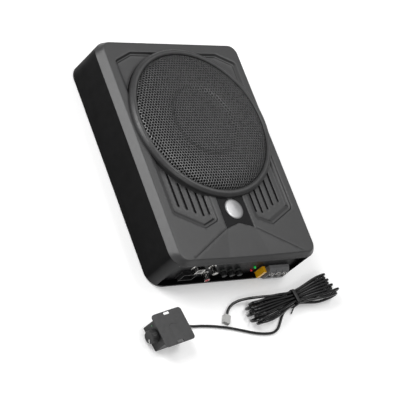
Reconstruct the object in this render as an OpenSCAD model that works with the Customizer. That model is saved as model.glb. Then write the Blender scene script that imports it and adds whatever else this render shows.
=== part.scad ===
// Slim powered subwoofer for a car, with its wired remote level control.
// Millimetres. The enclosure lies on its feet at z = 0 with the loudspeaker facing up (+Z),
// the connector panel at the -Y end and the origin under the middle of the enclosure.

/* [Enclosure] */
// Width across the long sides
box_w = 270; // [262:1:280]
// Length from the connector end to the far end
box_l = 354; // [346:1:362]
// Height of the top face above the floor
face_z = 73; // [72:0.5:76]
// Corner radius in plan
corner_r = 24; // [20:1:26]
// Thickness of the side walls
wall = 3; // [2.5:0.5:3.5]
// Thickness of the top wall
top_wall = 5; // [4.5:0.5:6]
// Height of the sloped band round the top face
band_h = 10.5; // [8:0.5:12]
// How far the band leans in on the long sides
band_side = 10.5; // [8:0.5:11]
// How far the band leans in on the two ends
band_end = 5; // [3:0.5:8]

/* [Loudspeaker] */
// Centre of the loudspeaker, measured from the middle of the enclosure
speaker_y = 39; // [34:1:42]
// Outer radius of the trim ring
ring_r = 121; // [120:0.5:122]
// Inner radius of the trim ring, where the mesh begins
mesh_r = 111.5; // [110:0.5:112]
// Height of the trim ring above the top face
ring_h = 8; // [6:0.5:9]
// Height of the seat that holds the loudspeaker
seat_z = 64; // [63.5:0.1:64.5]

/* [Connector panel] */
// Depth of the panel behind the end of the enclosure
panel_depth = 8; // [7:0.5:9]
// Thickness of the panel sheet
panel_t = 2; // [1.5:0.5:2]
// Distance between neighbouring screws on the power terminals
terminal_pitch = 12.4; // [12:0.1:12.6]
// Distance between neighbouring knobs
knob_pitch = 14.5; // [14:0.1:15]

/* [Mounting] */
// Distance across between the threaded bushes in the bottom plate
mount_x = 200; // [190:1:206]
// Distance along between the threaded bushes in the bottom plate
mount_y = 260; // [250:1:266]

/* [Remote and lead] */
// Length of the remote housing
remote_l = 50; // [48:0.5:52]
// Width of the remote housing
remote_w = 36; // [35:0.5:38]
// Height of the remote housing above its base
remote_h = 24; // [23:0.5:25]
// Turn of the remote on the floor, in degrees
remote_turn = 10; // [0:1:20]
// Diameter of the round lead
lead_d = 4; // [3.5:0.1:4]
// Length of the tied hank of lead
hank_l = 188; // [180:1:192]

/* [Hidden] */
$fn = 64;
hull_fn = 32;
slack = 0.3;
fit = 0.05;

// Levels of the enclosure
rim_z = 2;
plate_t = 2;
floor_z = rim_z + plate_t;
band_z = face_z - band_h;
ceiling_z = face_z - top_wall;
ring_top = face_z + ring_h;
end_y = -box_l / 2;
panel_y = end_y + panel_depth;
ledge_y = panel_y + panel_t;
cavity_y = ledge_y + wall;
cavity_l = box_l / 2 - wall - cavity_y;
cavity_mid = cavity_y + cavity_l / 2;
recess_half = 122;
recess_z = [5, 61];
window_half = 112;
window_z = [5.8, 54];

// Screw posts of the bottom plate
post_x = 124;
post_ys = [-146, -50, 55, 146];
post_r = 5;

// Threaded bushes of the bottom plate
bush_r = 5;
bush_hole_r = 2.5;
bush_h = 9;

// Shaped areas of the top face, given for the +X side
pocket_outline = [[112, -8], [111, -103], [63, -127], [35, -116], [35, -60]];
slot_xs = [93.5, 81, 68.5, 56, 43.5];
corner_outline = [[111, 74], [113, 142], [80, 157], [0, 158], [0, 130]];
pocket_depth = 2.2;
slot_depth = 1.6;
slot_w = 3.4;

// Mesh of the grille: thickness, then radius and height of its upper side
mesh_t = 1;
mesh_outline = [
    [0, 82.2], [53, 82.2], [55, 82.6], [56.5, 84.1], [58, 84.5], [84, 84.2], [96, 83.4], [103, 82.2],
    [108, 80.2], [110.2, 78], [111.2, 76.2]
];

// Loudspeaker
basket_r = 117.5;
basket_hole_r = 107;
flange_t = 2.5;
flange_top = seat_z + 0.5 + flange_t;
speaker_screw_r = 112.5;
cone_edge_r = 81;
neck_r = 20.2;
neck_z = 48;
plate_bottom = 28;
plate_top = 34;
yoke_z = 7;
yoke_t = 5;
pole_r = 18.6;
gap_r = 21.6;

// Connector panel: places along X and heights
panel_screw_x = 116;
panel_screw_zs = [14, 52];
rca_x = -46;
rca_zs = [20, 40];
rca_r = 4.15;
knob_x = 1.5;
knob_z = 21;
phase_x = -28;
led_x = 44;
led_zs = [17, 26];
fuse_pos = [60, 17];
high_input = [-79, 21];
remote_port_pos = [-73.5, 42];
terminal_x = 90.5;
terminal_w = 38;
terminal_z = [4, 26];
terminal_front = end_y - 3;
screw_z = 18.5;

// Amplifier board
board_z = 10;
board_t = 1.6;
board_x = 93;
board_y = [cavity_y + 6, -93];

// Remote
remote_pos = [-139, -246];
remote_lift = 1.5;
strain_l = 6;
bracket_t = 1.6;

// Hank of lead
hank_pos = [108, -217];
hank_turn = 11;
hank_h = 20;
waist_r = 12;
lobe_r = 19;

// Places that the lead passes through, from the remote to the hank, and from the hank to its connector
run_points = [
    [-107.9, -240.52, 9], [-104, -239.83, 9], [-98, -239.3, 7.4], [-91, -239.2, 4.2], [-83, -239.3, 2.1],
    [-70, -240, 2.1], [-52, -242, 2.1], [-34, -245, 2.1], [-16, -249, 2.1], [2, -254, 2.1],
    [20, -259, 2.1], [38, -262, 2.1], [54, -262, 2.1], [66, -257, 2.1], [74, -249, 2.1], [81.3, -240.5, 2.1]
];
tail_points = [
    [31, -209.9, 11], [20, -210, 9.6], [8, -211, 7.6], [-3, -214, 5.6], [-10, -218.5, 4.2],
    [-15, -223.6, 3.6], [-18.7, -228.7, 3.5]
];

// ---- helpers ----

module rounded_rect(size, r) {
    square([size[0] - 2 * r, size[1]], center = true);
    square([size[0], size[1] - 2 * r], center = true);
    for (sx = [-1, 1], sy = [-1, 1])
        translate([sx * (size[0] / 2 - r), sy * (size[1] / 2 - r)])
            circle(r = r);
}

module rounded_block(size, r, z0, z1) {
    translate([0, 0, z0])
        linear_extrude(height = z1 - z0)
            rounded_rect(size, r);
}

module spin(points) {
    rotate_extrude($fn = 96)
        polygon(points);
}

module along_y(x, z, y0, y1, r) {
    translate([x, y1, z])
        rotate([90, 0, 0])
            cylinder(r = r, h = y1 - y0);
}

module box_at(x0, x1, y0, y1, z0, z1) {
    translate([x0, y0, z0])
        cube([x1 - x0, y1 - y0, z1 - z0]);
}

module on_speaker() {
    translate([0, speaker_y, 0])
        children();
}

module on_remote() {
    translate([remote_pos[0], remote_pos[1], 0])
        rotate([0, 0, remote_turn])
            children();
}

// A round tube swept along a list of places, closed at both ends
function unit(v) = v / norm(v);
function heading(p, i) = unit(p[min(i + 1, len(p) - 1)] - p[max(i - 1, 0)]);
function across(d) = unit(cross(d, abs(d[2]) > 0.9 ? [1, 0, 0] : [0, 0, 1]));
function ring_of(c, d, r, sides) = [
    for (k = [0 : sides - 1])
        c + r * cos(360 * k / sides) * across(d) + r * sin(360 * k / sides) * cross(across(d), d)
];
function blend_place(p, i, t) =
    let (a = p[max(i - 1, 0)], b = p[i], c = p[i + 1], d = p[min(i + 2, len(p) - 1)])
    0.5 * (2 * b + (c - a) * t + (2 * a - 5 * b + 4 * c - d) * t * t + (3 * b - a - 3 * c + d) * t * t * t);
function smooth_route(p) = [
    for (i = [0 : len(p) - 2], t = [0, 0.5]) blend_place(p, i, t),
    p[len(p) - 1]
];

module tube(p, r, sides) {
    n = len(p);
    skin = [for (i = [0 : n - 1]) each ring_of(p[i], heading(p, i), r, sides)];
    walls = [
        for (i = [0 : n - 2], k = [0 : sides - 1])
            let (a = i * sides + k, b = i * sides + (k + 1) % sides)
            [a, b, b + sides, a + sides]
    ];
    start_cap = [for (k = [sides - 1 : -1 : 0]) k];
    end_cap = [for (k = [0 : sides - 1]) (n - 1) * sides + k];
    polyhedron(points = skin, faces = concat(walls, [start_cap, end_cap]), convexity = 10);
}

// ---- enclosure ----

module shell_outside() {
    rounded_block([box_w, box_l], corner_r, rim_z, band_z);
    hull()
        for (sx = [-1, 1], sy = [-1, 1]) {
            translate([sx * (box_w / 2 - corner_r), sy * (box_l / 2 - corner_r), band_z - 1])
                cylinder(r = corner_r, h = 1, $fn = hull_fn);
            translate([sx * (box_w / 2 - corner_r), sy * (box_l / 2 - corner_r + band_side - band_end),
                       face_z - 1])
                cylinder(r1 = corner_r - band_side + 0.8, r2 = corner_r - band_side, h = 1, $fn = hull_fn);
        }
}

module shell_posts() {
    for (sx = [-1, 1], y = post_ys)
        translate([sx * post_x, y, floor_z])
            cylinder(r = post_r, h = ceiling_z - floor_z + 0.2);
}

module shell_cavity() {
    translate([0, cavity_mid, 0]) {
        rounded_block([box_w - 2 * wall, cavity_l], corner_r - wall, rim_z - 1, band_z - 2);
        rounded_block([box_w - 2 * wall - 2 * band_side, cavity_l - band_side], corner_r - wall,
                      rim_z, ceiling_z);
    }
}

module face_pockets() {
    for (side = [0, 1])
        mirror([side, 0, 0]) {
            translate([0, 0, face_z - pocket_depth])
                linear_extrude(height = pocket_depth + 1) {
                    polygon(pocket_outline);
                    polygon(corner_outline);
                }
            for (x = slot_xs)
                translate([x, 0, face_z - pocket_depth - slot_depth])
                    linear_extrude(height = slot_depth + 1)
                        translate([-slot_w / 2, -121 + (x - 35) * 0.42 + max(0, x - 81) * 0.1])
                            square([slot_w, 110]);
        }
}

module emblem_outline(grow) {
    polygon([
        [-23.5 - grow, -70 + grow], [-25 - grow, -128 - grow], [0, -120.5 - grow],
        [25 + grow, -128 - grow], [23.5 + grow, -70 + grow]
    ]);
}

module top_shell() {
    color("#3b3b3d")
        difference() {
            union() {
                difference() {
                    shell_outside();
                    shell_cavity();
                    face_pockets();
                    translate([0, 0, face_z - 1.4])
                        linear_extrude(height = 3)
                            emblem_outline(0.2);
                    box_at(-recess_half, recess_half, end_y - 1, ledge_y, recess_z[0], recess_z[1]);
                    box_at(-window_half, window_half, ledge_y - 1, cavity_y + 1, window_z[0], window_z[1]);
                    box_at(terminal_x - terminal_w / 2 - 1, terminal_x + terminal_w / 2 + 1,
                           end_y - 1, ledge_y, rim_z + 1.5, recess_z[0] + 1);
                }
                shell_posts();
                on_speaker()
                    spin([[basket_hole_r, seat_z - 4], [ring_r, seat_z - 4], [ring_r, face_z], [basket_hole_r, face_z]]);
            }
            on_speaker() {
                translate([0, 0, seat_z])
                    cylinder(r = basket_r + slack, h = 30);
                translate([0, 0, seat_z - 20])
                    cylinder(r = basket_hole_r, h = 60);
                for (k = [0 : 7])
                    rotate([0, 0, 45 * k + 22.5])
                        translate([speaker_screw_r, 0, seat_z - 10])
                            cylinder(r = 1.5, h = 20);
            }
            for (sx = [-1, 1], y = post_ys)
                translate([sx * post_x, y, floor_z - 1])
                    cylinder(r = 1.5 + fit, h = 15);
            for (sx = [-1, 1], z = panel_screw_zs)
                along_y(sx * panel_screw_x, z, ledge_y - 1, cavity_y + 1, 1.25 + fit);
        }
}

module bottom_plate() {
    color("#2c2c2e")
        difference() {
            union() {
                translate([0, cavity_mid, 0])
                    rounded_block([box_w - 2 * wall - 2 * slack, cavity_l - 2 * slack], corner_r - wall,
                                  rim_z, floor_z);
                for (sx = [-1, 1], sy = [-1, 1])
                    translate([sx * mount_x / 2, sy * mount_y / 2, 0])
                        cylinder(r = bush_r, h = bush_h);
            }
            for (sx = [-1, 1], sy = [-1, 1])
                translate([sx * mount_x / 2, sy * mount_y / 2, -1])
                    cylinder(r = bush_hole_r, h = bush_h + 2);
            for (sx = [-1, 1], y = post_ys)
                translate([sx * post_x, y, rim_z - 1])
                    cylinder(r = 1.8, h = 5);
            for (k = [0 : 10], sy = [-1, 1])
                translate([(k - 5) * 16 - 2, sy * 78 - 20, rim_z - 1])
                    cube([4, 40, 0.6 + 1]);
        }
}

module bottom_screws() {
    color("#8a8a8c")
        for (sx = [-1, 1], y = post_ys)
            translate([sx * post_x, y, 0]) {
                translate([0, 0, 0.4])
                    difference() {
                        cylinder(r = 3.2, h = rim_z - 0.4);
                        translate([-2.2, -0.4, -1])
                            cube([4.4, 0.8, 1.8]);
                        translate([-0.4, -2.2, -1])
                            cube([0.8, 4.4, 1.8]);
                    }
                translate([0, 0, rim_z - 0.1])
                    cylinder(r = 1.5, h = 14);
            }
}

module rubber_feet() {
    color("#1b1b1b")
        for (sx = [-1, 1], y = [-118, 100])
            translate([sx * 116, y, 0])
                spin([[0, 0], [8, 0], [9, 0.8], [9, rim_z], [0, rim_z]]);
}

module panel_holes() {
    for (z = rca_zs)
        along_y(rca_x, z, panel_y - 1, ledge_y + 1, rca_r + fit);
    for (k = [-1 : 1])
        along_y(knob_x + k * knob_pitch, knob_z, panel_y - 1, ledge_y + 1, 3.5 + fit);
    for (z = led_zs)
        along_y(led_x, z, panel_y - 1, ledge_y + 1, 1.5 + fit);
    box_at(phase_x - 4, phase_x + 4, panel_y - 1, ledge_y + 1, knob_z - 1.8, knob_z + 1.8);
    box_at(high_input[0] - 13, high_input[0] + 13, panel_y - 1, ledge_y + 1, high_input[1] - 9, high_input[1] + 9);
    box_at(remote_port_pos[0] - 6.5, remote_port_pos[0] + 6.5, panel_y - 1, ledge_y + 1,
           remote_port_pos[1] - 6, remote_port_pos[1] + 6);
    box_at(fuse_pos[0] - 4.5, fuse_pos[0] + 4.5, panel_y - 1, ledge_y + 1, fuse_pos[1] - 11, fuse_pos[1] + 11);
    box_at(terminal_x - terminal_w / 2 + 2, terminal_x + terminal_w / 2 - 2, panel_y - 1, ledge_y + 1, 12, 24);
    for (sx = [-1, 1], z = panel_screw_zs)
        along_y(sx * panel_screw_x, z, panel_y - 1, ledge_y + 1, 1.6);
}

module control_panel() {
    color("#161617")
        difference() {
            box_at(-recess_half + 1, recess_half - 1, panel_y, ledge_y, recess_z[0] + 0.5, recess_z[1] - 0.5);
            panel_holes();
        }
}

module panel_screws() {
    color("#2a2a2c")
        for (sx = [-1, 1], z = panel_screw_zs) {
            difference() {
                along_y(sx * panel_screw_x, z, panel_y - 1.6, panel_y, 2.8);
                translate([sx * panel_screw_x, panel_y - 1.4, z]) {
                    cube([3.8, 1.2, 0.7], center = true);
                    cube([0.7, 1.2, 3.8], center = true);
                }
            }
            along_y(sx * panel_screw_x, z, panel_y - 0.1, cavity_y, 1.25);
        }
}

module grille_ring() {
    color("#333335")
        on_speaker()
            spin([
                [basket_hole_r + 2, flange_top + 2.2], [basket_r - 0.3, flange_top + 2.2], [basket_r - 0.3, face_z],
                [ring_r, face_z], [ring_r, face_z + 3.2], [ring_r - 0.8, ring_top - 2], [ring_r - 2.6, ring_top - 0.4],
                [ring_r - 4.6, ring_top], [mesh_r + 2.4, ring_top], [mesh_r + 0.8, ring_top - 0.8],
                [mesh_r, ring_top - 2.4], [mesh_r, face_z + 2], [basket_hole_r + 2, face_z + 2]
            ]);
}

// Domed mesh with a sunken round centre; the same outline is drawn twice, one sheet thickness apart
module grille_mesh() {
    color("#2a2a2b")
        on_speaker()
            spin(concat(
                [for (p = mesh_outline) p],
                [[111.2, 75], [110.1, 75]],
                [for (i = [len(mesh_outline) - 1 : -1 : 0])
                    [max(0, mesh_outline[i][0] - (i > 6 ? mesh_t : 0)), mesh_outline[i][1] - mesh_t]]
            ));
}

module emblem_plate() {
    color("#0e0e0f")
        translate([0, 0, face_z - 1.4])
            difference() {
                linear_extrude(height = 1.2)
                    emblem_outline(0);
                translate([0, speaker_y, -1])
                    cylinder(r = ring_r + slack, h = 4);
            }
}

module emblem_badge() {
    color("silver")
        translate([0, -99.5, face_z - 0.2])
            spin([[0, 0], [15.5, 0], [15.5, 0.8], [14.6, 1.4], [12, 1.8], [6, 2.2], [0, 2.4]]);
}

// ---- loudspeaker ----

module speaker_gasket() {
    color("#202020")
        on_speaker()
            difference() {
                spin([[basket_hole_r + 0.5, seat_z], [basket_r, seat_z], [basket_r, seat_z + 0.5],
                      [basket_hole_r + 0.5, seat_z + 0.5]]);
                speaker_screw_holes(1.8);
            }
}

module speaker_screw_holes(r) {
    for (k = [0 : 7])
        rotate([0, 0, 45 * k + 22.5])
            translate([speaker_screw_r, 0, seat_z - 1])
                cylinder(r = r, h = 6);
}

module speaker_basket() {
    color("#242426")
        on_speaker()
            difference() {
                union() {
                    spin([
                        [basket_r, seat_z + 0.5], [basket_r, flange_top], [100, flange_top], [100, flange_top - 2.2],
                        [63, plate_top + 2], [54, plate_top + 2], [54, 43], [48, 43], [48, plate_top + 2],
                        [22.5, plate_top + 2], [22.5, plate_top], [64, plate_top], [103, seat_z - 2], [103, seat_z + 0.5]
                    ]);
                    translate([-12, -98, 46])
                        cube([24, 16, 3]);
                }
                for (k = [0 : 5])
                    rotate([0, 0, 60 * k])
                        translate([0, 0, plate_top + 2.5])
                            linear_extrude(height = 22)
                                polygon([[61, -24], [97, -38], [97, 38], [61, 24]]);
                speaker_screw_holes(1.9);
            }
}

module speaker_screws() {
    color("#3a3a3a")
        on_speaker()
            for (k = [0 : 7])
                rotate([0, 0, 45 * k + 22.5])
                    translate([speaker_screw_r, 0, 0]) {
                        translate([0, 0, seat_z - 4])
                            cylinder(r = 1.45, h = 8);
                        translate([0, 0, flange_top])
                            cylinder(r = 3.2, h = 1.9);
                    }
}

module surround() {
    roll_r = 92;
    roll_out = 9;
    color("#141414")
        on_speaker()
            spin(concat(
                [[106, flange_top], [106, flange_top + 1], [roll_r + roll_out, flange_top + 1]],
                [for (a = [15 : 15 : 165]) [roll_r + roll_out * cos(a), flange_top + 1 + 0.9 * roll_out * sin(a)]],
                [[roll_r - roll_out, flange_top + 1], [75, flange_top + 0.2], [75, flange_top - 0.6],
                 [roll_r - roll_out + 0.8, flange_top]],
                [for (a = [165 : -15 : 15])
                    [roll_r + (roll_out - 0.9) * cos(a), flange_top + 0.9 * (roll_out - 0.9) * sin(a)]],
                [[roll_r + roll_out - 0.8, flange_top]]
            ));
}

module cone() {
    color("#1d1d1f")
        on_speaker()
            spin([
                [neck_r, neck_z], [cone_edge_r, flange_top - 1.2], [cone_edge_r, flange_top - 0.35],
                [75.1, flange_top - 0.8], [neck_r + 3, neck_z + 2], [neck_r, neck_z + 2]
            ]);
}

module dust_cap() {
    color("#232325")
        on_speaker()
            spin(concat(
                [for (a = [0 : 10 : 80]) [34 * cos(a), 53.4 + 9 * sin(a)]],
                [[0, 62.4], [0, 61.4]],
                [for (a = [80 : -10 : 0]) [33 * cos(a), 53.4 + 8 * sin(a)]]
            ));
}

module spider() {
    rings = [for (r = [23 : 2 : 49]) r];
    color("#b08a4a")
        on_speaker()
            spin(concat(
                [[neck_r, 43], [neck_r, 43.8]],
                [for (r = rings) [r, 44.2 + 1 * sin((r - 23) * 75)]],
                [[53.5, 43.8], [53.5, 43], [50, 43]],
                [for (i = [len(rings) - 1 : -1 : 0]) [rings[i], 43.4 + 1 * sin((rings[i] - 23) * 75)]]
            ));
}

module voice_coil() {
    color("#b87333")
        on_speaker()
            spin([
                [19.2, 23], [21, 23], [21, 39], [neck_r, 39], [neck_r, neck_z + 2], [19.2, neck_z + 2]
            ]);
}

module top_plate() {
    color("#9a9a9c")
        on_speaker()
            spin([[gap_r, plate_bottom], [62, plate_bottom], [62, plate_top], [gap_r, plate_top]]);
}

module magnet() {
    color("#2f2d2c")
        on_speaker()
            spin([[30, yoke_z + yoke_t], [64, yoke_z + yoke_t], [65, yoke_z + yoke_t + 1], [65, plate_bottom - 1],
                  [64, plate_bottom], [30, plate_bottom]]);
}

module pole_yoke() {
    color("#9a9a9c")
        on_speaker()
            spin([[5, yoke_z], [62, yoke_z], [62, yoke_z + yoke_t], [pole_r, yoke_z + yoke_t],
                  [pole_r, plate_top], [5, plate_top]]);
}

module speaker_terminal() {
    color("#7a5a36")
        on_speaker() {
            translate([-11, -97.5, 44])
                cube([22, 10, 2]);
            for (sx = [-1, 1])
                translate([sx * 7 - 2.4, -103, 44.4])
                    cube([4.8, 5.5, 0.8]);
        }
}

module speaker_wires() {
    color("#b5121b")
        for (sx = [-1, 1])
            tube(smooth_route([
                [sx * 7, -64.15, 44.8], [sx * 7, -68, 44.6], [sx * 7.5, -76, 40], [sx * 8, -86, 34],
                [sx * 8, -96, 26], [sx * 8, -104, 19], [sx * 8, -106, 15], [sx * 8, -106, 11.75]
            ]), 0.9, 8);
}

// ---- amplifier ----

module amp_board() {
    color("#1f5a35")
        difference() {
            box_at(-board_x, board_x, board_y[0], board_y[1], board_z, board_z + board_t);
            box_at(fuse_pos[0] - 5, fuse_pos[0] + 5, board_y[0] - 1, ledge_y + 14.5, board_z - 1, board_z + 3);
            for (sx = [-1, 1], y = [board_y[0] + 5, board_y[1] - 5])
                translate([sx * 86, y, board_z - 1])
                    cylinder(r = 1.6, h = 4);
        }
}

module board_standoffs() {
    color("#c0a860")
        for (sx = [-1, 1], y = [board_y[0] + 5, board_y[1] - 5])
            translate([sx * 86, y, 0]) {
                translate([0, 0, floor_z])
                    cylinder(r = 3, h = board_z - floor_z, $fn = 6);
                translate([0, 0, board_z - 0.1])
                    cylinder(r = 1.5, h = board_t + 0.2);
                translate([0, 0, board_z + board_t])
                    cylinder(r = 2.8, h = 1.8);
            }
}

module heatsink_bar() {
    color("#b4b6b8")
        difference() {
            box_at(-90, 90, board_y[1] + 1, board_y[1] + 8, floor_z, 26);
            for (k = [-5 : 5])
                box_at(k * 16 - 1.5, k * 16 + 1.5, board_y[1] + 4, board_y[1] + 9, floor_z + 8, 27);
        }
}

module power_transistors() {
    color("#1a1a1a")
        for (x = [-72, -40, 40, 72])
            translate([x, board_y[1] + 1, board_z + board_t]) {
                translate([-5, -4.5, 3])
                    cube([10, 4.5, 9]);
                translate([-5, -1.3, 11.9])
                    cube([10, 1.3, 1.6]);
                for (k = [-1 : 1])
                    translate([k * 2.54 - 0.4, -3, 0])
                        cube([0.8, 0.6, 3.1]);
            }
}

module toroid() {
    color("#a65a20")
        translate([-52, -120, board_z + board_t + 7])
            rotate_extrude()
                translate([13, 0])
                    circle(r = 7);
}

module capacitors() {
    color("#20304a")
        for (p = [[30, -128], [52, -128], [74, -128], [-8, -118]])
            translate([p[0], p[1], board_z + board_t])
                cylinder(r = 8, h = 30);
}

module rca_jacks() {
    color("#c9c9cc")
        for (z = rca_zs)
            difference() {
                union() {
                    along_y(rca_x, z, panel_y - 12, ledge_y, rca_r);
                    along_y(rca_x, z, panel_y - 1.2, panel_y, 6);
                }
                along_y(rca_x, z, panel_y - 13, ledge_y + 1, 3.7);
            }
}

module rca_block() {
    color("#151515") {
        difference() {
            box_at(rca_x - 6, rca_x + 6, ledge_y, ledge_y + 12, board_z + board_t, rca_zs[1] + 7);
            for (z = rca_zs)
                along_y(rca_x, z, ledge_y - 1, ledge_y + 8, 1.6);
        }
        for (z = rca_zs)
            difference() {
                along_y(rca_x, z, panel_y - 11, ledge_y, 3.6);
                along_y(rca_x, z, panel_y - 12, ledge_y + 1, 1.6);
            }
    }
}

module high_input_socket() {
    x = high_input[0];
    z = high_input[1];
    color("#111112") {
        difference() {
            union() {
                box_at(x - 12.6, x + 12.6, panel_y - 6, ledge_y + 10, z - 8.6, z + 8.6);
                box_at(x - 15, x + 15, panel_y - 1, panel_y, z - 10.5, z + 10.5);
            }
            box_at(x - 11, x + 11, panel_y - 7, panel_y + 6, z - 7, z + 7);
        }
        for (i = [-1 : 1], j = [-1, 1])
            box_at(x + i * 6 - 0.6, x + i * 6 + 0.6, panel_y + 1, panel_y + 7, z + j * 3.5 - 0.6, z + j * 3.5 + 0.6);
    }
}

module remote_port() {
    x = remote_port_pos[0];
    z = remote_port_pos[1];
    color("#c8c8ca")
        difference() {
            union() {
                box_at(x - 6.4, x + 6.4, panel_y - 8, ledge_y + 6, z - 5.9, z + 5.9);
                box_at(x - 8, x + 8, panel_y - 0.6, panel_y, z - 7.5, z + 7.5);
            }
            box_at(x - 5.4, x + 5.4, panel_y - 9, panel_y + 3, z - 4.9, z + 4.9);
        }
}

module potentiometers() {
    color("#3c4a3c")
        for (k = [-1 : 1])
            difference() {
                union() {
                    box_at(knob_x + k * knob_pitch - 5, knob_x + k * knob_pitch + 5, ledge_y, ledge_y + 8,
                           board_z + board_t, knob_z + 5);
                    along_y(knob_x + k * knob_pitch, knob_z, panel_y - 2, ledge_y + 1, 3.5);
                }
                along_y(knob_x + k * knob_pitch, knob_z, panel_y - 3, ledge_y + 6, 2 + fit);
            }
}

module panel_knob(place) {
    x = knob_x + place * knob_pitch;
    color("#1a1a1b")
        difference() {
            union() {
                along_y(x, knob_z, panel_y - 2.4, ledge_y + 5.6, 2);
                translate([x, panel_y - 2.4, knob_z])
                    rotate([90, 0, 0])
                        spin([[0, 0], [4.4, 0], [4.4, 1.2], [3.9, 5.6], [3.5, 6.2], [0, 6.2]]);
            }
            box_at(x - 0.4, x + 0.4, panel_y - 9, panel_y - 7.8, knob_z, knob_z + 5);
        }
}

module level_knob() {
    panel_knob(-1);
}

module low_pass_knob() {
    panel_knob(0);
}

module bass_knob() {
    panel_knob(1);
}

module phase_switch() {
    color("#20242a")
        difference() {
            box_at(phase_x - 6, phase_x + 6, ledge_y, ledge_y + 6, knob_z - 3, knob_z + 3);
            box_at(phase_x - 4, phase_x + 4, ledge_y - 1, ledge_y + 3, knob_z - 1.6, knob_z + 1.6);
        }
}

module phase_slider() {
    color("#d8d8d4")
        box_at(phase_x - 3.6, phase_x - 0.6, panel_y - 2.2, ledge_y + 2.6, knob_z - 1.3, knob_z + 1.3);
}

module panel_led(z) {
    along_y(led_x, z, panel_y - 1.5, ledge_y + 3, 1.5);
    translate([led_x, panel_y - 1.5, z])
        sphere(r = 1.5);
}

module power_led() {
    color("#1fa04a")
        panel_led(led_zs[1]);
}

module protect_led() {
    color("#c81e2a")
        panel_led(led_zs[0]);
}

module fuse_holder() {
    x = fuse_pos[0];
    z = fuse_pos[1];
    color("#101010")
        difference() {
            union() {
                box_at(x - 4.3, x + 4.3, panel_y - 1.2, ledge_y + 14, z - 10.8, z + 10.8);
                box_at(x - 5.5, x + 5.5, panel_y - 1.2, panel_y, z - 12, z + 12);
            }
            box_at(x - 2.9, x + 2.9, panel_y - 2, panel_y + 1.5, z - 9.9, z + 9.9);
            for (j = [-1, 1])
                box_at(x - 0.7, x + 0.7, panel_y, ledge_y + 13, z + j * 6.4 - 3, z + j * 6.4 + 3);
        }
}

module blade_fuse() {
    x = fuse_pos[0];
    z = fuse_pos[1];
    color("#e8a712") {
        box_at(x - 2.55, x + 2.55, panel_y - 10, panel_y + 1, z - 9.55, z + 9.55);
        for (j = [-1, 1])
            box_at(x - 0.35, x + 0.35, panel_y + 0.9, panel_y + 13, z + j * 6.4 - 2.6, z + j * 6.4 + 2.6);
    }
}

module terminal_block() {
    nose = 9;
    y0 = terminal_front;
    color("#77787a")
        difference() {
            union() {
                box_at(terminal_x - terminal_w / 2, terminal_x + terminal_w / 2, y0, panel_y,
                       terminal_z[0], terminal_z[1] - nose);
                box_at(terminal_x - terminal_w / 2, terminal_x + terminal_w / 2, y0 + nose, panel_y,
                       terminal_z[0], terminal_z[1]);
                difference() {
                    translate([terminal_x - terminal_w / 2, y0 + nose, terminal_z[1] - nose])
                        rotate([0, 90, 0])
                            cylinder(r = nose, h = terminal_w);
                    box_at(terminal_x - terminal_w, terminal_x + terminal_w, panel_y, panel_y + 20, 0, 40);
                }
                box_at(terminal_x - terminal_w / 2 + 2.5, terminal_x + terminal_w / 2 - 2.5,
                       panel_y - 1, ledge_y + 6, 12.5, 23.5);
            }
            for (k = [-1 : 1])
                translate([terminal_x + k * terminal_pitch, 0, 0]) {
                    along_y(0, screw_z, y0 - 1, y0 + 10, 4);
                    along_y(0, screw_z, y0 - 1, y0 + 16, 1.6);
                    box_at(-4.2, 4.2, y0 - 1, y0 + 10, 7.5, screw_z - 1);
                }
            for (k = [-0.5, 0.5])
                box_at(terminal_x + k * terminal_pitch - 0.5, terminal_x + k * terminal_pitch + 0.5,
                       y0 - 1, y0 + 4, terminal_z[0] - 1, terminal_z[1] + 1);
        }
}

module clamp_washer(k) {
    x = terminal_x + k * terminal_pitch;
    color("#c9b27a")
        difference() {
            union() {
                along_y(x, screw_z, terminal_front + 4.05, terminal_front + 5.2, 3.7);
                box_at(x - 3.7, x + 3.7, terminal_front + 4.05, terminal_front + 5.2, 9, screw_z);
            }
            along_y(x, screw_z, terminal_front + 3, terminal_front + 6, 1.6);
        }
}

module clamp_screw(k) {
    x = terminal_x + k * terminal_pitch;
    color("#d8d9dc")
        difference() {
            union() {
                along_y(x, screw_z, terminal_front + 1.4, terminal_front + 4, 3.1);
                along_y(x, screw_z, terminal_front + 3.9, terminal_front + 13, 1.55);
            }
            box_at(x - 3.3, x + 3.3, terminal_front + 1, terminal_front + 2.6, screw_z - 0.45, screw_z + 0.45);
            box_at(x - 0.45, x + 0.45, terminal_front + 1, terminal_front + 2.6, screw_z - 2.2, screw_z + 2.2);
        }
}

module clamp_ground() {
    clamp_washer(-1);
}

module clamp_remote() {
    clamp_washer(0);
}

module clamp_power() {
    clamp_washer(1);
}

module screw_ground() {
    clamp_screw(-1);
}

module screw_remote() {
    clamp_screw(0);
}

module screw_power() {
    clamp_screw(1);
}

// ---- remote control ----

module remote_housing() {
    l = remote_l;
    w = remote_w;
    top = remote_lift + remote_h;
    color("#1c1c1d")
        on_remote()
            difference() {
                union() {
                    rounded_block([l, w], 2, remote_lift, top);
                    translate([l / 2 - 1, 0, 9])
                        rotate([0, 90, 0])
                            cylinder(r1 = 4.2, r2 = 2.7, h = strain_l + 1);
                }
                rounded_block([l - 4, w - 4], 1, remote_lift - 1, top - 2);
                translate([-l / 2 - 1, 0, 13])
                    rotate([0, 90, 0])
                        cylinder(r = 3.6, h = 4);
                translate([-l / 2 - 1, 13, 17])
                    rotate([0, 90, 0])
                        cylinder(r = 1.2, h = 4);
                for (sy = [-1, 1])
                    translate([0, sy * 12, top - 1.2])
                        cylinder(r = 1.6, h = 3);
            }
}

module remote_base() {
    color("#171718")
        on_remote() {
            rounded_block([remote_l, remote_w], 2, 0, remote_lift);
            rounded_block([remote_l - 4.4, remote_w - 4.4], 1, remote_lift - 0.1, remote_lift + 1.5);
        }
}

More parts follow.
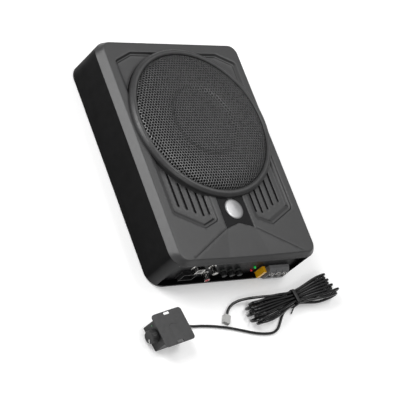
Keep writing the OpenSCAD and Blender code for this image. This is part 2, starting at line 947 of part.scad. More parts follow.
module remote_bracket() {
    top = remote_lift + remote_h;
    color("#1a1a1b")
        on_remote() {
            translate([0, 0, top])
                difference() {
                    rounded_block([54, 48], 5, 0, bracket_t);
                    for (sy = [-1, 1])
                        translate([0, sy * 21, -1])
                            linear_extrude(height = 5) {
                                square([8, 3.6], center = true);
                                for (sx = [-1, 1])
                                    translate([sx * 4, 0])
                                        circle(r = 1.8);
                            }
                }
            for (sy = [-1, 1])
                translate([0, sy * 12, top - 1.1])
                    cylinder(r = 1.55, h = 1.2);
        }
}

module remote_knob() {
    color("#151516")
        on_remote()
            translate([-remote_l / 2, 0, 13])
                rotate([0, -90, 0])
                    difference() {
                        union() {
                            translate([0, 0, -9])
                                cylinder(r = 3, h = 9.6);
                            translate([0, 0, 0.5])
                                spin([[0, 0], [9.5, 0], [9.5, 2], [8.8, 9], [8, 10], [0, 10]]);
                        }
                        translate([0, -0.5, 9.5])
                            cube([9, 1, 2]);
                    }
}

module remote_board() {
    l = remote_l;
    color("#2a6a40")
        on_remote()
            difference() {
                union() {
                    box_at(-l / 2 + 4, l / 2 - 14, -15, 15, 4, 5.6);
                    box_at(-l / 2 + 2.2, -l / 2 + 11, -6, 6, 5.5, 19);
                    translate([-l / 2 + 2.2, 13, 17])
                        rotate([0, -90, 0])
                            cylinder(r = 1.1, h = 2.6);
                    box_at(-l / 2 + 2.2, -l / 2 + 5, 11.5, 14.5, 5.5, 18.2);
                }
                translate([-l / 2, 0, 13])
                    rotate([0, 90, 0])
                        cylinder(r = 3 + fit, h = 9.2);
            }
}

// ---- lead of the remote ----

module lead_run() {
    color("#161616")
        tube(smooth_route(run_points), lead_d / 2, 8);
}

module lead_tail() {
    color("#161616")
        tube(smooth_route(tail_points), lead_d / 2, 8);
}

module lobe(side) {
    hull() {
        circle(r = waist_r, $fn = hull_fn);
        translate([side * (hank_l / 2 - lobe_r), 0])
            circle(r = lobe_r, $fn = hull_fn);
    }
}

module lead_hank() {
    color("#141414")
        translate([hank_pos[0], hank_pos[1], 0])
            rotate([0, 0, hank_turn])
                difference() {
                    linear_extrude(height = hank_h) {
                        lobe(-1);
                        lobe(1);
                    }
                    translate([0, 0, -1])
                        difference() {
                            box_at(-4, 4, -30, 30, 0, hank_h + 2);
                            box_at(-5, 5, 1.4 - waist_r, waist_r - 1.4, 2.4, hank_h - 0.4);
                        }
                }
}

module hank_tie() {
    color("#101010")
        translate([hank_pos[0], hank_pos[1], 0])
            rotate([0, 0, hank_turn])
                difference() {
                    box_at(-3, 3, -waist_r, waist_r, 0, hank_h);
                    box_at(-4, 4, 1.4 - waist_r, waist_r - 1.4, 1.4, hank_h - 1.4);
                }
}

module lead_connector() {
    color("#e9e9e6")
        translate([-19, -229, 0])
            rotate([0, 0, 60])
                difference() {
                    box_at(-14, 0, -5, 5, 0, 7);
                    for (k = [-1.5 : 1 : 1.5])
                        box_at(-15, -9, k * 2.3 - 0.7, k * 2.3 + 0.7, 2.4, 4.6);
                }
}

top_shell();
bottom_plate();
bottom_screws();
rubber_feet();
control_panel();
panel_screws();
grille_ring();
grille_mesh();
emblem_plate();
emblem_badge();
speaker_gasket();
speaker_basket();
speaker_screws();
surround();
cone();
dust_cap();
spider();
voice_coil();
top_plate();
magnet();
pole_yoke();
speaker_terminal();
speaker_wires();
amp_board();
board_standoffs();
heatsink_bar();
power_transistors();
toroid();
capacitors();
rca_jacks();
rca_block();
high_input_socket();
remote_port();
potentiometers();
level_knob();
low_pass_knob();
bass_knob();
phase_switch();
phase_slider();
power_led();
protect_led();
fuse_holder();
blade_fuse();
terminal_block();
clamp_ground();
clamp_remote();
clamp_power();
screw_ground();
screw_remote();
screw_power();
remote_housing();
remote_base();
remote_bracket();
remote_knob();
remote_board();
lead_run();
lead_tail();
lead_hank();
hank_tie();
lead_connector();
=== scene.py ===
"""Looks of the powered car subwoofer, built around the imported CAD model.

Sizes are written in millimetres and stored in metres. X is the enclosure's width, and the connectors face -Y.
"""

import math

import bmesh
import bpy
import numpy as np
from mathutils import Matrix, Quaternion, Vector
from mathutils.geometry import delaunay_2d_cdt


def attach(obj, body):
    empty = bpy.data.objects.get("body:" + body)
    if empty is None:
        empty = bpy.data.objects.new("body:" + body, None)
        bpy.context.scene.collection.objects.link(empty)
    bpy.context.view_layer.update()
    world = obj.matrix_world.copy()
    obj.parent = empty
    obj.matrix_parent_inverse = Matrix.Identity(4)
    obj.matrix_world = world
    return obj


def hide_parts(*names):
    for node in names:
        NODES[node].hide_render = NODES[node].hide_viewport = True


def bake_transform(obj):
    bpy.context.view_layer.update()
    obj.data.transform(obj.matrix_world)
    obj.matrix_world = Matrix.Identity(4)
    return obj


MM = 0.001
# Points closer than this, in metres, are one; the shaped face, whose lines nearly meet, needs more
WELD, FACE_WELD = 1e-6, 2e-5
# Where the loudspeaker's axis meets the floor
SPEAKER = (0.0, 39.0)

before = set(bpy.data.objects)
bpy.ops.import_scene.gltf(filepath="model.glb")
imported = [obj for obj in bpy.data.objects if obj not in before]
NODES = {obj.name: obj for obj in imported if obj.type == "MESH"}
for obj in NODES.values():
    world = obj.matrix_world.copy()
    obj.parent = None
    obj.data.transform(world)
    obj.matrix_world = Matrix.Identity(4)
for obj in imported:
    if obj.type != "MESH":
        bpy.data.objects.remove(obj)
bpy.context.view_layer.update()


# ---------------------------------------------------------------- camera


CAMERA_PLACE = (-1.54763, -0.86172, 1.63001)
CAMERA_LENS = 150.07
# Line of sight in degrees: turned from +X towards +Y, lowered from level, and rolled about itself
CAMERA_TURN, CAMERA_DOWN, CAMERA_ROLL = 27.5517, 42.7637, 49.7359


def make_camera():
    turn, down, roll = (math.radians(a) for a in (CAMERA_TURN, CAMERA_DOWN, CAMERA_ROLL))
    sight = Vector((math.cos(down) * math.cos(turn), math.cos(down) * math.sin(turn), -math.sin(down)))
    aim = sight.to_track_quat("-Z", "Y") @ Quaternion((0, 0, 1), roll)
    data = bpy.data.cameras.new("camera")
    data.lens = CAMERA_LENS
    data.sensor_width = 36
    data.clip_end = 20
    camera = bpy.data.objects.new("camera", data)
    camera.matrix_world = Matrix.Translation(CAMERA_PLACE) @ aim.to_matrix().to_4x4()
    bpy.context.scene.collection.objects.link(camera)
    bpy.context.scene.camera = camera


make_camera()


# ---------------------------------------------------------------- mesh helpers


def link(name, data):
    made = bpy.data.objects.new(name, data)
    bpy.context.scene.collection.objects.link(made)
    return made


def mesh_data(name, verts, faces):
    """A mesh from points in millimetres."""
    data = bpy.data.meshes.new(name)
    places = [tuple(float(c) * MM for c in v) for v in verts]
    data.from_pydata(places, [], [tuple(int(i) for i in f) for f in faces])
    return data


def shade(bm, sharp_deg):
    """Makes all faces smooth, and the edges sharp where they meet at more than sharp_deg."""
    for face in bm.faces:
        face.smooth = True
    for edge in bm.edges:
        edge.smooth = not (len(edge.link_faces) == 2 and edge.calc_face_angle(0) > math.radians(sharp_deg))


def mesh_piece(name, verts, faces, sharp_deg=40):
    """A welded object from points in millimetres, with its faces turned outwards."""
    data = mesh_data(name, verts, faces)
    data.validate()
    bm = bmesh.new()
    bm.from_mesh(data)
    bmesh.ops.remove_doubles(bm, verts=bm.verts, dist=WELD)
    bmesh.ops.recalc_face_normals(bm, faces=bm.faces)
    shade(bm, sharp_deg)
    bm.to_mesh(data)
    bm.free()
    return link(name, data)


def turned(v, angle):
    """A plane vector turned by an angle in radians."""
    c, s = math.cos(angle), math.sin(angle)
    return np.array([v[0] * c - v[1] * s, v[0] * s + v[1] * c])


def catmull(points, step):
    """A smooth line through the points, with places about step apart."""
    p = np.array(points, float)
    p = np.vstack([2 * p[0] - p[1], p, 2 * p[-1] - p[-2]])
    out = []
    for i in range(1, len(p) - 2):
        a, b, c, d = p[i - 1 : i + 3]
        n = max(1, round(float(np.linalg.norm(c - b)) / step))
        for t in np.arange(n) / n:
            bend, twist = 2 * a - 5 * b + 4 * c - d, 3 * b - a - 3 * c + d
            out.append(0.5 * (2 * b + (c - a) * t + bend * t**2 + twist * t**3))
    return np.array([*out, p[-2]])


# A corner whose half angle is larger than this, in radians, counts as straight
STRAIGHT = 1.55


def fillet(points, radius, steps=5, closed=True):
    """The polygon or line with its corners rounded; radius is one number, or one for each corner."""
    pts = [np.array(q, float) for q in points]
    n, out = len(pts), []
    for i, corner in enumerate(pts):
        r = radius[i] if hasattr(radius, "__len__") else radius
        if r <= 0 or (not closed and i in (0, n - 1)):
            out.append(corner)
            continue
        a, b = pts[i - 1] - corner, pts[(i + 1) % n] - corner
        la, lb = np.linalg.norm(a), np.linalg.norm(b)
        a, b = a / la, b / lb
        half = math.acos(float(np.clip(a @ b, -1, 1))) / 2
        if half > STRAIGHT:
            out.append(corner)
            continue
        t = min(r / math.tan(half), 0.48 * la, 0.48 * lb)
        r = t * math.tan(half)
        middle = corner + (a + b) / np.linalg.norm(a + b) * r / math.sin(half)
        v0, v1 = corner + a * t - middle, corner + b * t - middle
        turn = math.atan2(v0[0] * v1[1] - v0[1] * v1[0], float(v0 @ v1))
        for k in range(steps + 1):
            out.append(middle + turned(v0, turn * k / steps))
    return np.array(out)


def wrapped(seg, n):
    """Faces round a ring of seg closed sections with n points each."""
    faces = []
    for k in range(seg):
        a, b = k * n, ((k + 1) % seg) * n
        faces += [(a + i, b + i, b + (i + 1) % n, a + (i + 1) % n) for i in range(n)]
    return faces


def lathe(name, profile, seg=192, sharp_deg=40):
    """A turned piece about the loudspeaker's axis, from (radius, height) pairs."""
    verts = []
    for k in range(seg):
        c, s = math.cos(2 * math.pi * k / seg), math.sin(2 * math.pi * k / seg)
        verts += [(SPEAKER[0] + r * c, SPEAKER[1] + r * s, z) for r, z in np.array(profile, float)]
    return mesh_piece(name, verts, wrapped(seg, len(profile)), sharp_deg)


def swept(rings, cap=True):
    """Points and faces of rings of equal length joined one after another."""
    n, faces = len(rings[0]), []
    for i in range(len(rings) - 1):
        a, b = i * n, (i + 1) * n
        faces += [(a + k, a + (k + 1) % n, b + (k + 1) % n, b + k) for k in range(n)]
    if cap:
        faces += [tuple(range(n))[::-1], tuple((len(rings) - 1) * n + k for k in range(n))]
    return [v for ring in rings for v in ring], faces


def joined(*parts):
    """Points and faces of several parts as one."""
    verts, faces = [], []
    for more, extra in parts:
        faces += [tuple(i + len(verts) for i in f) for f in extra]
        verts += list(more)
    return verts, faces


def oblong(half_u, half_v, u=0, v=0):
    """The corners of an oblong about the point u, v."""
    low, high, left, right = v - half_v, v + half_v, u - half_u, u + half_u
    return [[left, low], [right, low], [right, high], [left, high]]


def place_at(made, x, y, turn_deg):
    """Turns a piece about the vertical axis and moves it to x, y."""
    turn = Matrix.Rotation(math.radians(turn_deg), 4, "Z")
    made.data.transform(Matrix.Translation((x * MM, y * MM, 0)) @ turn)
    return made


# ---------------------------------------------------------------- lead of the remote, as one cord

LEAD_D = 4.0
# The hank's middle, and how far its length is turned from X
HANK = (108.0, -217.0, 11.0)
# Places that the lead passes through, from the remote to the hank, and from the hank to its connector
RUN = [
    [-107.9, -240.52, 9], [-104, -239.83, 9], [-98, -239.3, 7.4], [-91, -239.2, 4.2], [-83, -239.3, 2.1],
    [-70, -240, 2.1], [-52, -242, 2.1], [-34, -245, 2.1], [-16, -249, 2.1], [2, -254, 2.1],
    [20, -259, 2.1], [38, -262, 2.1], [54, -262, 2.1], [66, -257, 2.1], [74, -249, 2.1], [81.3, -240.5, 2.1],
]
TAIL = [
    [31, -209.9, 11], [20, -210, 9.6], [8, -211, 7.6], [-3, -214, 5.6], [-10, -218.5, 4.2],
    [-15, -223.6, 3.6], [-18.7, -228.7, 3.5],
]
# Along the hank (u) and across it (v): where each turn lies at its ends, and where its folds begin
LEFT_V = [-18.4, -13.4, -6.6, -2.3, 2.0, 6.3, 11.9, 16.3]
RIGHT_V = [-16.9, -11.4, -7.0, -2.4, 2.2, 6.7, 11.2, 15.9]
LEFT_U = [-76, -84, -73, -85, -78, -82, -72]
RIGHT_U = [76, 84, 72, 77, 71, 74, 70, 73]
TURNS = len(RIGHT_V)
FOLD_R = 8.0
FOLD_DEG = [-80, -50, -18, 18, 50, 80]
# Heights of the passes through the tie: for even and odd turns, and beyond the tie
LOW_WAIST, LOW_END = (7.8, 3.6), 2.1
HIGH_WAIST, HIGH_END = (12.2, 16.4), 18.0
WAIST_PITCH = 2.4
PASS_U = [-62, -44, -28, -12, 0, 14, 30, 48, 62]


def ease(t):
    t = min(1.0, max(0.0, t))
    return t * t * (3 - 2 * t)


def strand(k, us, top):
    """One straight pass of turn k through the tie, which spreads out and settles towards the hank's ends."""
    waist_z, end_z = (HIGH_WAIST[k % 2], HIGH_END) if top else (LOW_WAIST[k % 2], LOW_END)
    waist_v = (k - (TURNS - 1) / 2) * WAIST_PITCH
    out = []
    for u in us:
        end_v = (RIGHT_V if u > 0 else LEFT_V)[k]
        spread, settle = ease(abs(u) / 66), ease((abs(u) - 4) / 46)
        out.append([u, waist_v * (1 - spread) + end_v * spread, waist_z * (1 - settle) + end_z * settle])
    return out


def fold_height(deg):
    middle, rise = (HIGH_END + LOW_END) / 2, (HIGH_END - LOW_END) / 2
    return middle + rise * math.sin(math.radians(deg))


def hank_points():
    """The lead in the hank: low passes to the right, folds, high passes to the left, and folds."""
    points = [[-22.5, -12.9, 2.3], [-12, -9.6, 3.6], [0, -8.4, 6.6]]
    for k in range(TURNS):
        points += strand(k, [u for u in PASS_U if k or u > 0], False)
        for deg in FOLD_DEG:
            points.append([RIGHT_U[k] + FOLD_R * math.cos(math.radians(deg)), RIGHT_V[k], fold_height(deg)])
        if k == TURNS - 1:
            points += strand(k, [62, 48, 30, 14, 0, -12, -26], True)
            points += [[-42, 13.4, 16.2], [-58, 17.6, 14.2]]
            break
        points += strand(k, PASS_U[::-1], True)
        for deg in FOLD_DEG[::-1]:
            w = (FOLD_DEG[-1] - deg) / (FOLD_DEG[-1] - FOLD_DEG[0])
            v = LEFT_V[k] * (1 - w) + LEFT_V[k + 1] * w
            points.append([LEFT_U[k] - FOLD_R * math.cos(math.radians(deg)), v, fold_height(deg)])
    turn = math.radians(HANK[2])
    return [[*(HANK[:2] + turned((u, v), turn)), z] for u, v, z in points]


def make_lead():
    """The whole lead as one round curve, and its length in metres."""
    line = catmull(RUN + hank_points() + TAIL, 2.5) * MM
    curve = bpy.data.curves.new("lead", "CURVE")
    curve.dimensions = "3D"
    spline = curve.splines.new("POLY")
    spline.points.add(len(line) - 1)
    # The points' own radius carries the lead's thickness, because a curve's box grows by it
    for point, place in zip(spline.points, line):
        point.co = (*place, 1)
        point.radius = LEAD_D / 2 * MM
    curve.bevel_depth = 1.0
    curve.bevel_resolution = 4
    curve.use_fill_caps = True
    curve.resolution_u = 1
    spline.use_smooth = True
    return link("lead", curve), float(np.linalg.norm(np.diff(line, axis=0), axis=1).sum())


lead, lead_length = make_lead()
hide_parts("lead_run", "lead_tail", "lead_hank")
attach(lead, "root")


def make_tie():
    """The flat strap round the hank's waist, with its twisted tail."""
    half_v, z0, z1 = 11.3, 0.7, 19.3
    half_w, half_t = 2.9, 0.6
    tail_w, tail_t, tail_twist = 1.15, 0.7, 0.5
    section = fillet(oblong(half_w, half_t), 0.35, 2)
    loop = fillet([[-half_v, z0], [half_v, z0], [half_v, z1], [-half_v, z1]], 3.2, 6)
    rings = []
    for i, (v, z) in enumerate(loop):
        ahead, behind = loop[(i + 1) % len(loop)], loop[i - 1]
        d = (ahead - behind) / np.linalg.norm(ahead - behind)
        n = np.array([d[1], -d[0]])
        rings.append([(s[0], v + n[0] * s[1], z + n[1] * s[1]) for s in section])
    strap = swept([*rings, rings[0]], cap=False)
    tail = catmull([[0, -11.6, 4.5], [-2, -12.8, 3.2], [-5, -15.5, 2.0], [-9, -18.2, 1.5]], 0.8)
    rings = []
    for i, c in enumerate(tail):
        d = tail[min(i + 1, len(tail) - 1)] - tail[max(i - 1, 0)]
        d = d / np.linalg.norm(d)
        side = np.cross(d, [0, 0, 1])
        side /= np.linalg.norm(side)
        up = np.cross(side, d)
        oval = [(tail_w * math.cos(a), tail_t * math.sin(a)) for a in 2 * math.pi * np.arange(10) / 10]
        rings.append([c + side * p[0] + up * p[1] for p in (turned(q, i * tail_twist) for q in oval)])
    return place_at(mesh_piece("hank_strap", *joined(strap, swept(rings)), 50), *HANK)


strap = make_tie()
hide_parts("hank_tie")
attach(strap, "root")


# ---------------------------------------------------------------- materials


class Look:
    """A material with its own colour drift, grain and roughness, made of nodes in object space."""

    def __init__(self, name, colour, rough, metal=0.0, drift=0.12, drift_mm=9.0, grain_mm=0.6, grain=0.12,
                 rough_drift=0.06, specular=0.5, coat=0.0, coat_rough=0.1, clear=0.0, wear=0.0, stretch=None):
        self.material = bpy.data.materials.new(name)
        self.material.use_nodes = True
        self.tree = self.material.node_tree
        self.shader = self.tree.nodes["Principled BSDF"]
        self.place = self.node("ShaderNodeTexCoord").outputs["Object"]
        if stretch:
            self.place = self.node("ShaderNodeMapping", Vector=self.place, Scale=stretch).outputs["Vector"]
        dark, pale = [c * (1 - drift) for c in colour], [min(1.0, c * (1 + drift)) for c in colour]
        self.colour = self.ramp(self.noise(drift_mm, 3.0), [(0.3, dark), (0.7, pale)])
        if wear:
            edge = self.node("ShaderNodeNewGeometry").outputs["Pointiness"]
            worn = [min(1.0, c * 2.2 + 0.02) for c in colour]
            self.colour = self.blend(self.span(edge, 0.51, 0.56, 0.0, wear), self.colour, worn)
        mottle = self.noise(drift_mm * 0.37, 2.0)
        height = self.noise(grain_mm, 4.0)
        self.bump = self.node("ShaderNodeBump", Strength=grain, Distance=0.0002, Height=height)
        self.put(
            self.shader, Base_Color=self.colour, Metallic=metal, Specular_IOR_Level=specular,
            Roughness=self.span(mottle, 0.3, 0.7, rough - rough_drift, rough + rough_drift),
            Coat_Weight=coat, Coat_Roughness=coat_rough, Transmission_Weight=clear,
            Normal=self.bump.outputs["Normal"],
        )

    def put(self, node, **values):
        """Give inputs of a node a value or another node's output; _ stands for a space in their names."""
        for key, value in values.items():
            self.feed(node.inputs[key.replace("_", " ")], value)

    def feed(self, socket, value):
        if hasattr(value, "is_output"):
            self.tree.links.new(value, socket)
        else:
            socket.default_value = (*value, 1) if socket.type == "RGBA" else value

    def node(self, kind, **values):
        made = self.tree.nodes.new(kind)
        self.put(made, **values)
        return made

    def noise(self, size_mm, detail):
        made = self.node("ShaderNodeTexNoise", Vector=self.place, Scale=1000.0 / size_mm, Detail=detail)
        return made.outputs["Fac"]

    def ramp(self, source, stops):
        made = self.node("ShaderNodeValToRGB", Fac=source)
        for end, (at, colour) in zip(made.color_ramp.elements, stops):
            end.position, end.color = at, (*colour, 1)
        return made.outputs["Color"]

    def span(self, source, a, b, low, high):
        made = self.node("ShaderNodeMapRange", Value=source, From_Min=a, From_Max=b, To_Min=low, To_Max=high)
        return made.outputs["Result"]

    def blend(self, mask, a, b):
        """Colour a where mask is 0 and colour b where it is 1; either may be a socket or three numbers."""
        made = self.node("ShaderNodeMix")
        made.data_type = "RGBA"
        for key, value in (("Factor", mask), (6, a), (7, b)):
            self.feed(made.inputs[key], value)
        return made.outputs[2]

    def axis(self, name):
        return self.node("ShaderNodeSeparateXYZ", Vector=self.place).outputs[name]

    def recolour(self, socket):
        self.colour = socket
        self.put(self.shader, Base_Color=socket)

    def glow(self, colour, strength):
        self.put(self.shader, Emission_Color=colour, Emission_Strength=strength)

    def weave(self, pitch_mm, depth_mm):
        """Two crossed sets of ridges in place of the grain."""
        higher = self.node("ShaderNodeMath")
        higher.operation = "MAXIMUM"
        for direction, socket in zip("XY", higher.inputs):
            wave = self.node("ShaderNodeTexWave", Vector=self.place, Scale=1000.0 / pitch_mm / 20)
            wave.bands_direction = direction
            self.feed(socket, wave.outputs["Fac"])
        self.put(self.bump, Distance=depth_mm * MM, Height=higher.outputs["Value"])


LOOKS = {}


def look(slot, *args, **more):
    LOOKS[slot] = Look(slot + "_look", *args, **more)
    return LOOKS[slot]


def make_looks():
    """One look for each material slot of the CAD model, plus two darker copies of the shell's look that paint
    shade on its walls and on its pockets' sides.
    """
    look("shell_plastic", (0.032, 0.032, 0.0325), 0.42, grain_mm=0.9, grain=0.3, drift=0.05, drift_mm=14,
         wear=0.25, rough_drift=0.015)
    # Sloped sides of the face's pockets: a darker copy of the shell's look, painted shade
    look("shell_shaded_groove", (0.006, 0.006, 0.0062), 0.40, grain_mm=0.9, grain=0.3, drift=0.15, drift_mm=14)
    # Walls and slot floors: a near-black copy of the shell's look, painted shade
    side = look("shell_shaded_side", (0.0025, 0.0025, 0.0027), 0.5, grain_mm=0.9, grain=0.3, drift=0.2, drift_mm=30,
                specular=0.05)
    # The wall that holds the connectors faces -Y and is painted paler than the others: painted light on that
    # side
    normal = side.node("ShaderNodeNewGeometry").outputs["Normal"]
    towards = side.node("ShaderNodeSeparateXYZ", Vector=normal)
    painted_light_end_wall = side.span(towards.outputs["Y"], -0.95, -0.35, 1.0, 0.0)
    side.recolour(side.blend(painted_light_end_wall, side.colour, (0.07, 0.07, 0.071)))
    look("ring_plastic", (0.036, 0.036, 0.0365), 0.38, grain_mm=0.8, grain=0.15, specular=0.4)
    look("black_steel", (0.006, 0.006, 0.0065), 0.42, drift=0.2, grain_mm=0.5, grain=0.25, specular=0.18)
    look("mesh_steel", (0.034, 0.034, 0.0345), 0.30, drift=0.1, grain_mm=0.5, grain=0.05, specular=0.6,
         coat=0.7, coat_rough=0.20)
    look("screw_steel", (0.62, 0.62, 0.63), 0.28, metal=1.0, drift=0.1, drift_mm=2, grain_mm=0.3)
    look("black_screw", (0.03, 0.03, 0.032), 0.34, metal=0.6, drift=0.2, drift_mm=2, grain_mm=0.3, wear=0.3)
    look("foot_rubber", (0.006, 0.006, 0.006), 0.78, drift=0.25, grain_mm=0.4, grain=0.35, specular=0.12)
    look("emblem_black", (0.005, 0.005, 0.0055), 0.34, drift=0.15, drift_mm=20, grain_mm=0.5, grain=0.05,
         specular=0.12)
    badge = look("badge_silver", (0.34, 0.34, 0.345), 0.33, metal=0.85, drift=0.03, drift_mm=12,
                 grain_mm=0.5, grain=0.015, rough_drift=0.03, stretch=(1, 0.15, 1))
    badge.put(badge.shader, Anisotropic=0.3)
    look("cone_black", (0.004, 0.004, 0.0042), 0.7, drift=0.3, drift_mm=4, grain_mm=1.2, grain=0.5,
         specular=0.08)
    spider = look("spider_cloth", (0.35, 0.23, 0.09), 0.8, drift=0.2, drift_mm=5)
    spider.weave(0.9, 0.15)
    look("coil_copper", (0.72, 0.32, 0.13), 0.3, metal=0.9, drift=0.15, drift_mm=1, grain_mm=0.4, grain=0.4,
         stretch=(1, 1, 6))
    look("motor_steel", (0.5, 0.5, 0.51), 0.33, metal=1.0, drift=0.1, grain_mm=0.6)
    look("ferrite", (0.05, 0.047, 0.045), 0.7, drift=0.3, grain_mm=0.8, grain=0.5)
    board = look("strip_board", (0.20, 0.12, 0.055), 0.6, drift=0.25, drift_mm=2, stretch=(0.3, 1, 1))
    board.put(board.shader, Sheen_Weight=0.1)
    look("wire_red", (0.45, 0.012, 0.015), 0.4, drift=0.15, drift_mm=3)
    green = look("circuit_green", (0.012, 0.10, 0.035), 0.35, drift=0.2, coat=0.4)
    tracks = green.node(
        "ShaderNodeTexBrick", Vector=green.place, Scale=160, Mortar_Size=0.03, Color1=(0.012, 0.10, 0.035),
        Color2=(0.010, 0.085, 0.03), Mortar=(0.03, 0.2, 0.07),
    )
    green.recolour(tracks.outputs["Color"])
    look("heatsink_alu", (0.68, 0.69, 0.70), 0.38, metal=1.0, drift=0.08, drift_mm=1.2, stretch=(0.1, 1, 1))
    look("black_plastic", (0.010, 0.010, 0.0105), 0.44, drift=0.2, drift_mm=6, grain_mm=0.5, grain=0.2,
         specular=0.35, wear=0.15)
    look("capacitor_sleeve", (0.02, 0.035, 0.09), 0.35, drift=0.2, drift_mm=5, coat=0.3)
    look("nickel", (0.74, 0.73, 0.71), 0.2, metal=1.0, drift=0.08, drift_mm=2, grain_mm=0.4, grain=0.06)
    look("pot_body", (0.25, 0.27, 0.25), 0.35, metal=0.8, drift=0.15, drift_mm=3)
    look("slider_white", (0.72, 0.72, 0.70), 0.4, drift=0.06, drift_mm=1.5)
    look("led_green", (0.01, 0.45, 0.08), 0.12, drift=0.1, drift_mm=1, coat=1.0).glow((0.01, 0.8, 0.12), 0.35)
    look("led_red", (0.5, 0.012, 0.02), 0.12, drift=0.1, drift_mm=1, coat=1.0).glow((0.8, 0.01, 0.03), 0.15)
    fuse_painted_glow = look("fuse_yellow", (0.92, 0.50, 0.012), 0.22, drift=0.1, drift_mm=5, grain_mm=1, grain=0.05,
                 clear=0.12, coat=0.4)
    # The fuse glows faintly though nothing lights it: painted light
    fuse_painted_glow.glow((0.9, 0.45, 0.01), 0.05)
    look("terminal_grey", (0.19, 0.19, 0.195), 0.42, drift=0.1, drift_mm=5, grain_mm=0.6, grain=0.2,
         wear=0.3)
    look("clamp_brass", (0.70, 0.52, 0.25), 0.3, metal=1.0, drift=0.12, drift_mm=2)
    look("remote_plastic", (0.013, 0.013, 0.0135), 0.42, drift=0.15, drift_mm=12, grain_mm=0.7, grain=0.3,
         wear=0.2, specular=0.4)
    look("bracket_black", (0.020, 0.020, 0.0205), 0.45, drift=0.08, drift_mm=14, grain_mm=0.6, grain=0.2,
         wear=0.2)
    look("lead_pvc", (0.004, 0.004, 0.0043), 0.2, drift=0.2, drift_mm=30, grain_mm=0.5, grain=0.03,
         rough_drift=0.02, specular=0.6)
    look("tie_black", (0.008, 0.008, 0.0085), 0.5, drift=0.2, drift_mm=3, grain_mm=0.5, grain=0.3)
    look("connector_white", (0.42, 0.42, 0.41), 0.35, drift=0.04, drift_mm=4, grain_mm=0.8, grain=0.08,
         clear=0.08, coat=0.3)


make_looks()


def wear_look(made, slot):
    """The piece, with a single look."""
    made.data.materials.clear()
    made.data.materials.append(LOOKS[slot].material)
    return made


wear_look(lead, "lead_pvc")
wear_look(strap, "tie_black")


# ---------------------------------------------------------------- shaped top of the enclosure

# Heights of the flat face and of the lower edge of the sloped band round it
FACE_Z, BAND_Z = 73.0, 62.5
HALF_X, HALF_Y, CORNER = 135.0, 177.0, 24.0
# Width of the band at the long sides and at the ends
BAND_SIDE, BAND_END = 10.5, 5.0
HOLE_R, RING_R = 117.8, 121.0
# Heights of the collar's foot, and of the deepest pocket of the CAD face
COLLAR_Z, CAD_POCKET_Z = 66.0, 68.6
# The shell's own look, then darker copies that paint shade on the walls and slot floors, and on the pockets'
# sides
SHELL_LOOKS = ["shell_plastic", "shell_shaded_side", "shell_shaded_groove"]
# The part of the face that holds its pockets, as half sizes
POCKETS_X, POCKETS_Y = 118, 165
# Rows of the sloped band: how far in (1 is the edge of the face) and how high (0 to 1)
BAND_ROWS = [
    (0, 0), (0.010, 0.035), (0.035, 0.072), (0.085, 0.118), (0.17, 0.19), (0.30, 0.302), (0.5, 0.5),
    (0.7, 0.7), (0.86, 0.853), (0.93, 0.912), (0.985, 0.95), (1.05, 0.981), (1.12, 0.995), (1.2, 1.0),
]
# Creases between the facets at the connector end, on the +X side: where both start, the directions of the
# grooved one and of the plain one, their ends, and the groove's three lines as offsets and depths
CREASE_START = np.array([25.0, -128.0])
GROOVED = np.array([69.0, -38.0])
PLAIN = np.array([0.287, -0.958])
GROOVED_END, PLAIN_END = [104.7, -171.9], [38.8, -174.0]
GROOVE_NORMAL = np.array([0.482, 0.876])
CREASE_ROWS = [(-0.55, 0.0), (0.0, 0.35), (0.55, 0.0)]
FACET_SLOPE, MIDDLE_SLOPE = 0.07, 0.70
POCKET = [[111, -103], [63, -127], [35, -116], [35, -40], [112, 10]]
# Levels of a lower pocket: how far in from each side, depth, corner radius. The side at the ring stays put.
POCKET_LEVELS = [
    ([0, 0, 0, 0, 0], 0.0, 7.5),
    ([0.4, 0.4, 0.4, 0, 0.4], 0.2, 7.3),
    ([1.6, 1.6, 1.6, 0, 1.6], 1.35, 6.6),
    ([2.0, 2.0, 2.0, 0, 2.0], 1.45, 6.3),
    ([4.6, 4.4, 4.2, 0, 4.4], 1.5, 4.8),
    ([5.0, 4.8, 4.6, 0, 4.8], 1.7, 4.5),
    ([9.4, 7.2, 6.4, 0, 6.6], 3.9, 3.0),
    ([9.9, 7.6, 6.8, 0, 7.0], 4.05, 2.6),
]
FLOOR_DEPTH = 4.05
CORNER_POCKET = [[111, 60], [113, 142], [80, 157], [-80, 157], [-113, 142], [-111, 60]]
CORNER_LEVELS = [
    (0, 0.0, 6.5), (0.4, 0.2, 6.3), (2.6, 2.8, 5.4), (3.0, 2.95, 5.1), (4.0, 3.0, 4.4), (4.3, 3.15, 4.2),
    (5.3, 3.95, 3.5), (5.7, 4.05, 3.2),
]
# Straight slots of the lower pockets: distance from the middle, and where the end near the connectors is
SLOTS = [(92.8, -90.0), (80.0, -95.0), (67.4, -101.0), (54.8, -106.0), (43.6, -104.0)]
SLOT_REACH = 108.0
# Half width and depth of a slot's levels, and growth and depth of the recess round the emblem plate
SLOT_LEVELS = [(1.85, 0.0), (1.65, 0.2), (1.45, 0.75), (1.2, 0.9)]
PLATE_LEVELS = [(0.75, 0.0), (0.35, 0.25), (0.15, 0.5), (0.1, 1.4)]
# Spacing of the points along the lines of the face, and of the loose points between them
LINE_STEP, GRID_STEP = 4.0, 3.4
SLOT_STEP = 5.0
# How far the loose points keep from the creases, the pockets, the slots' middles and the emblem plate
CREASE_CLEAR, POCKET_CLEAR, SLOT_CLEAR, PLATE_CLEAR = 2.0, 1.2, 2.4, 1.6
FLOOR_SHRINK = 0.97


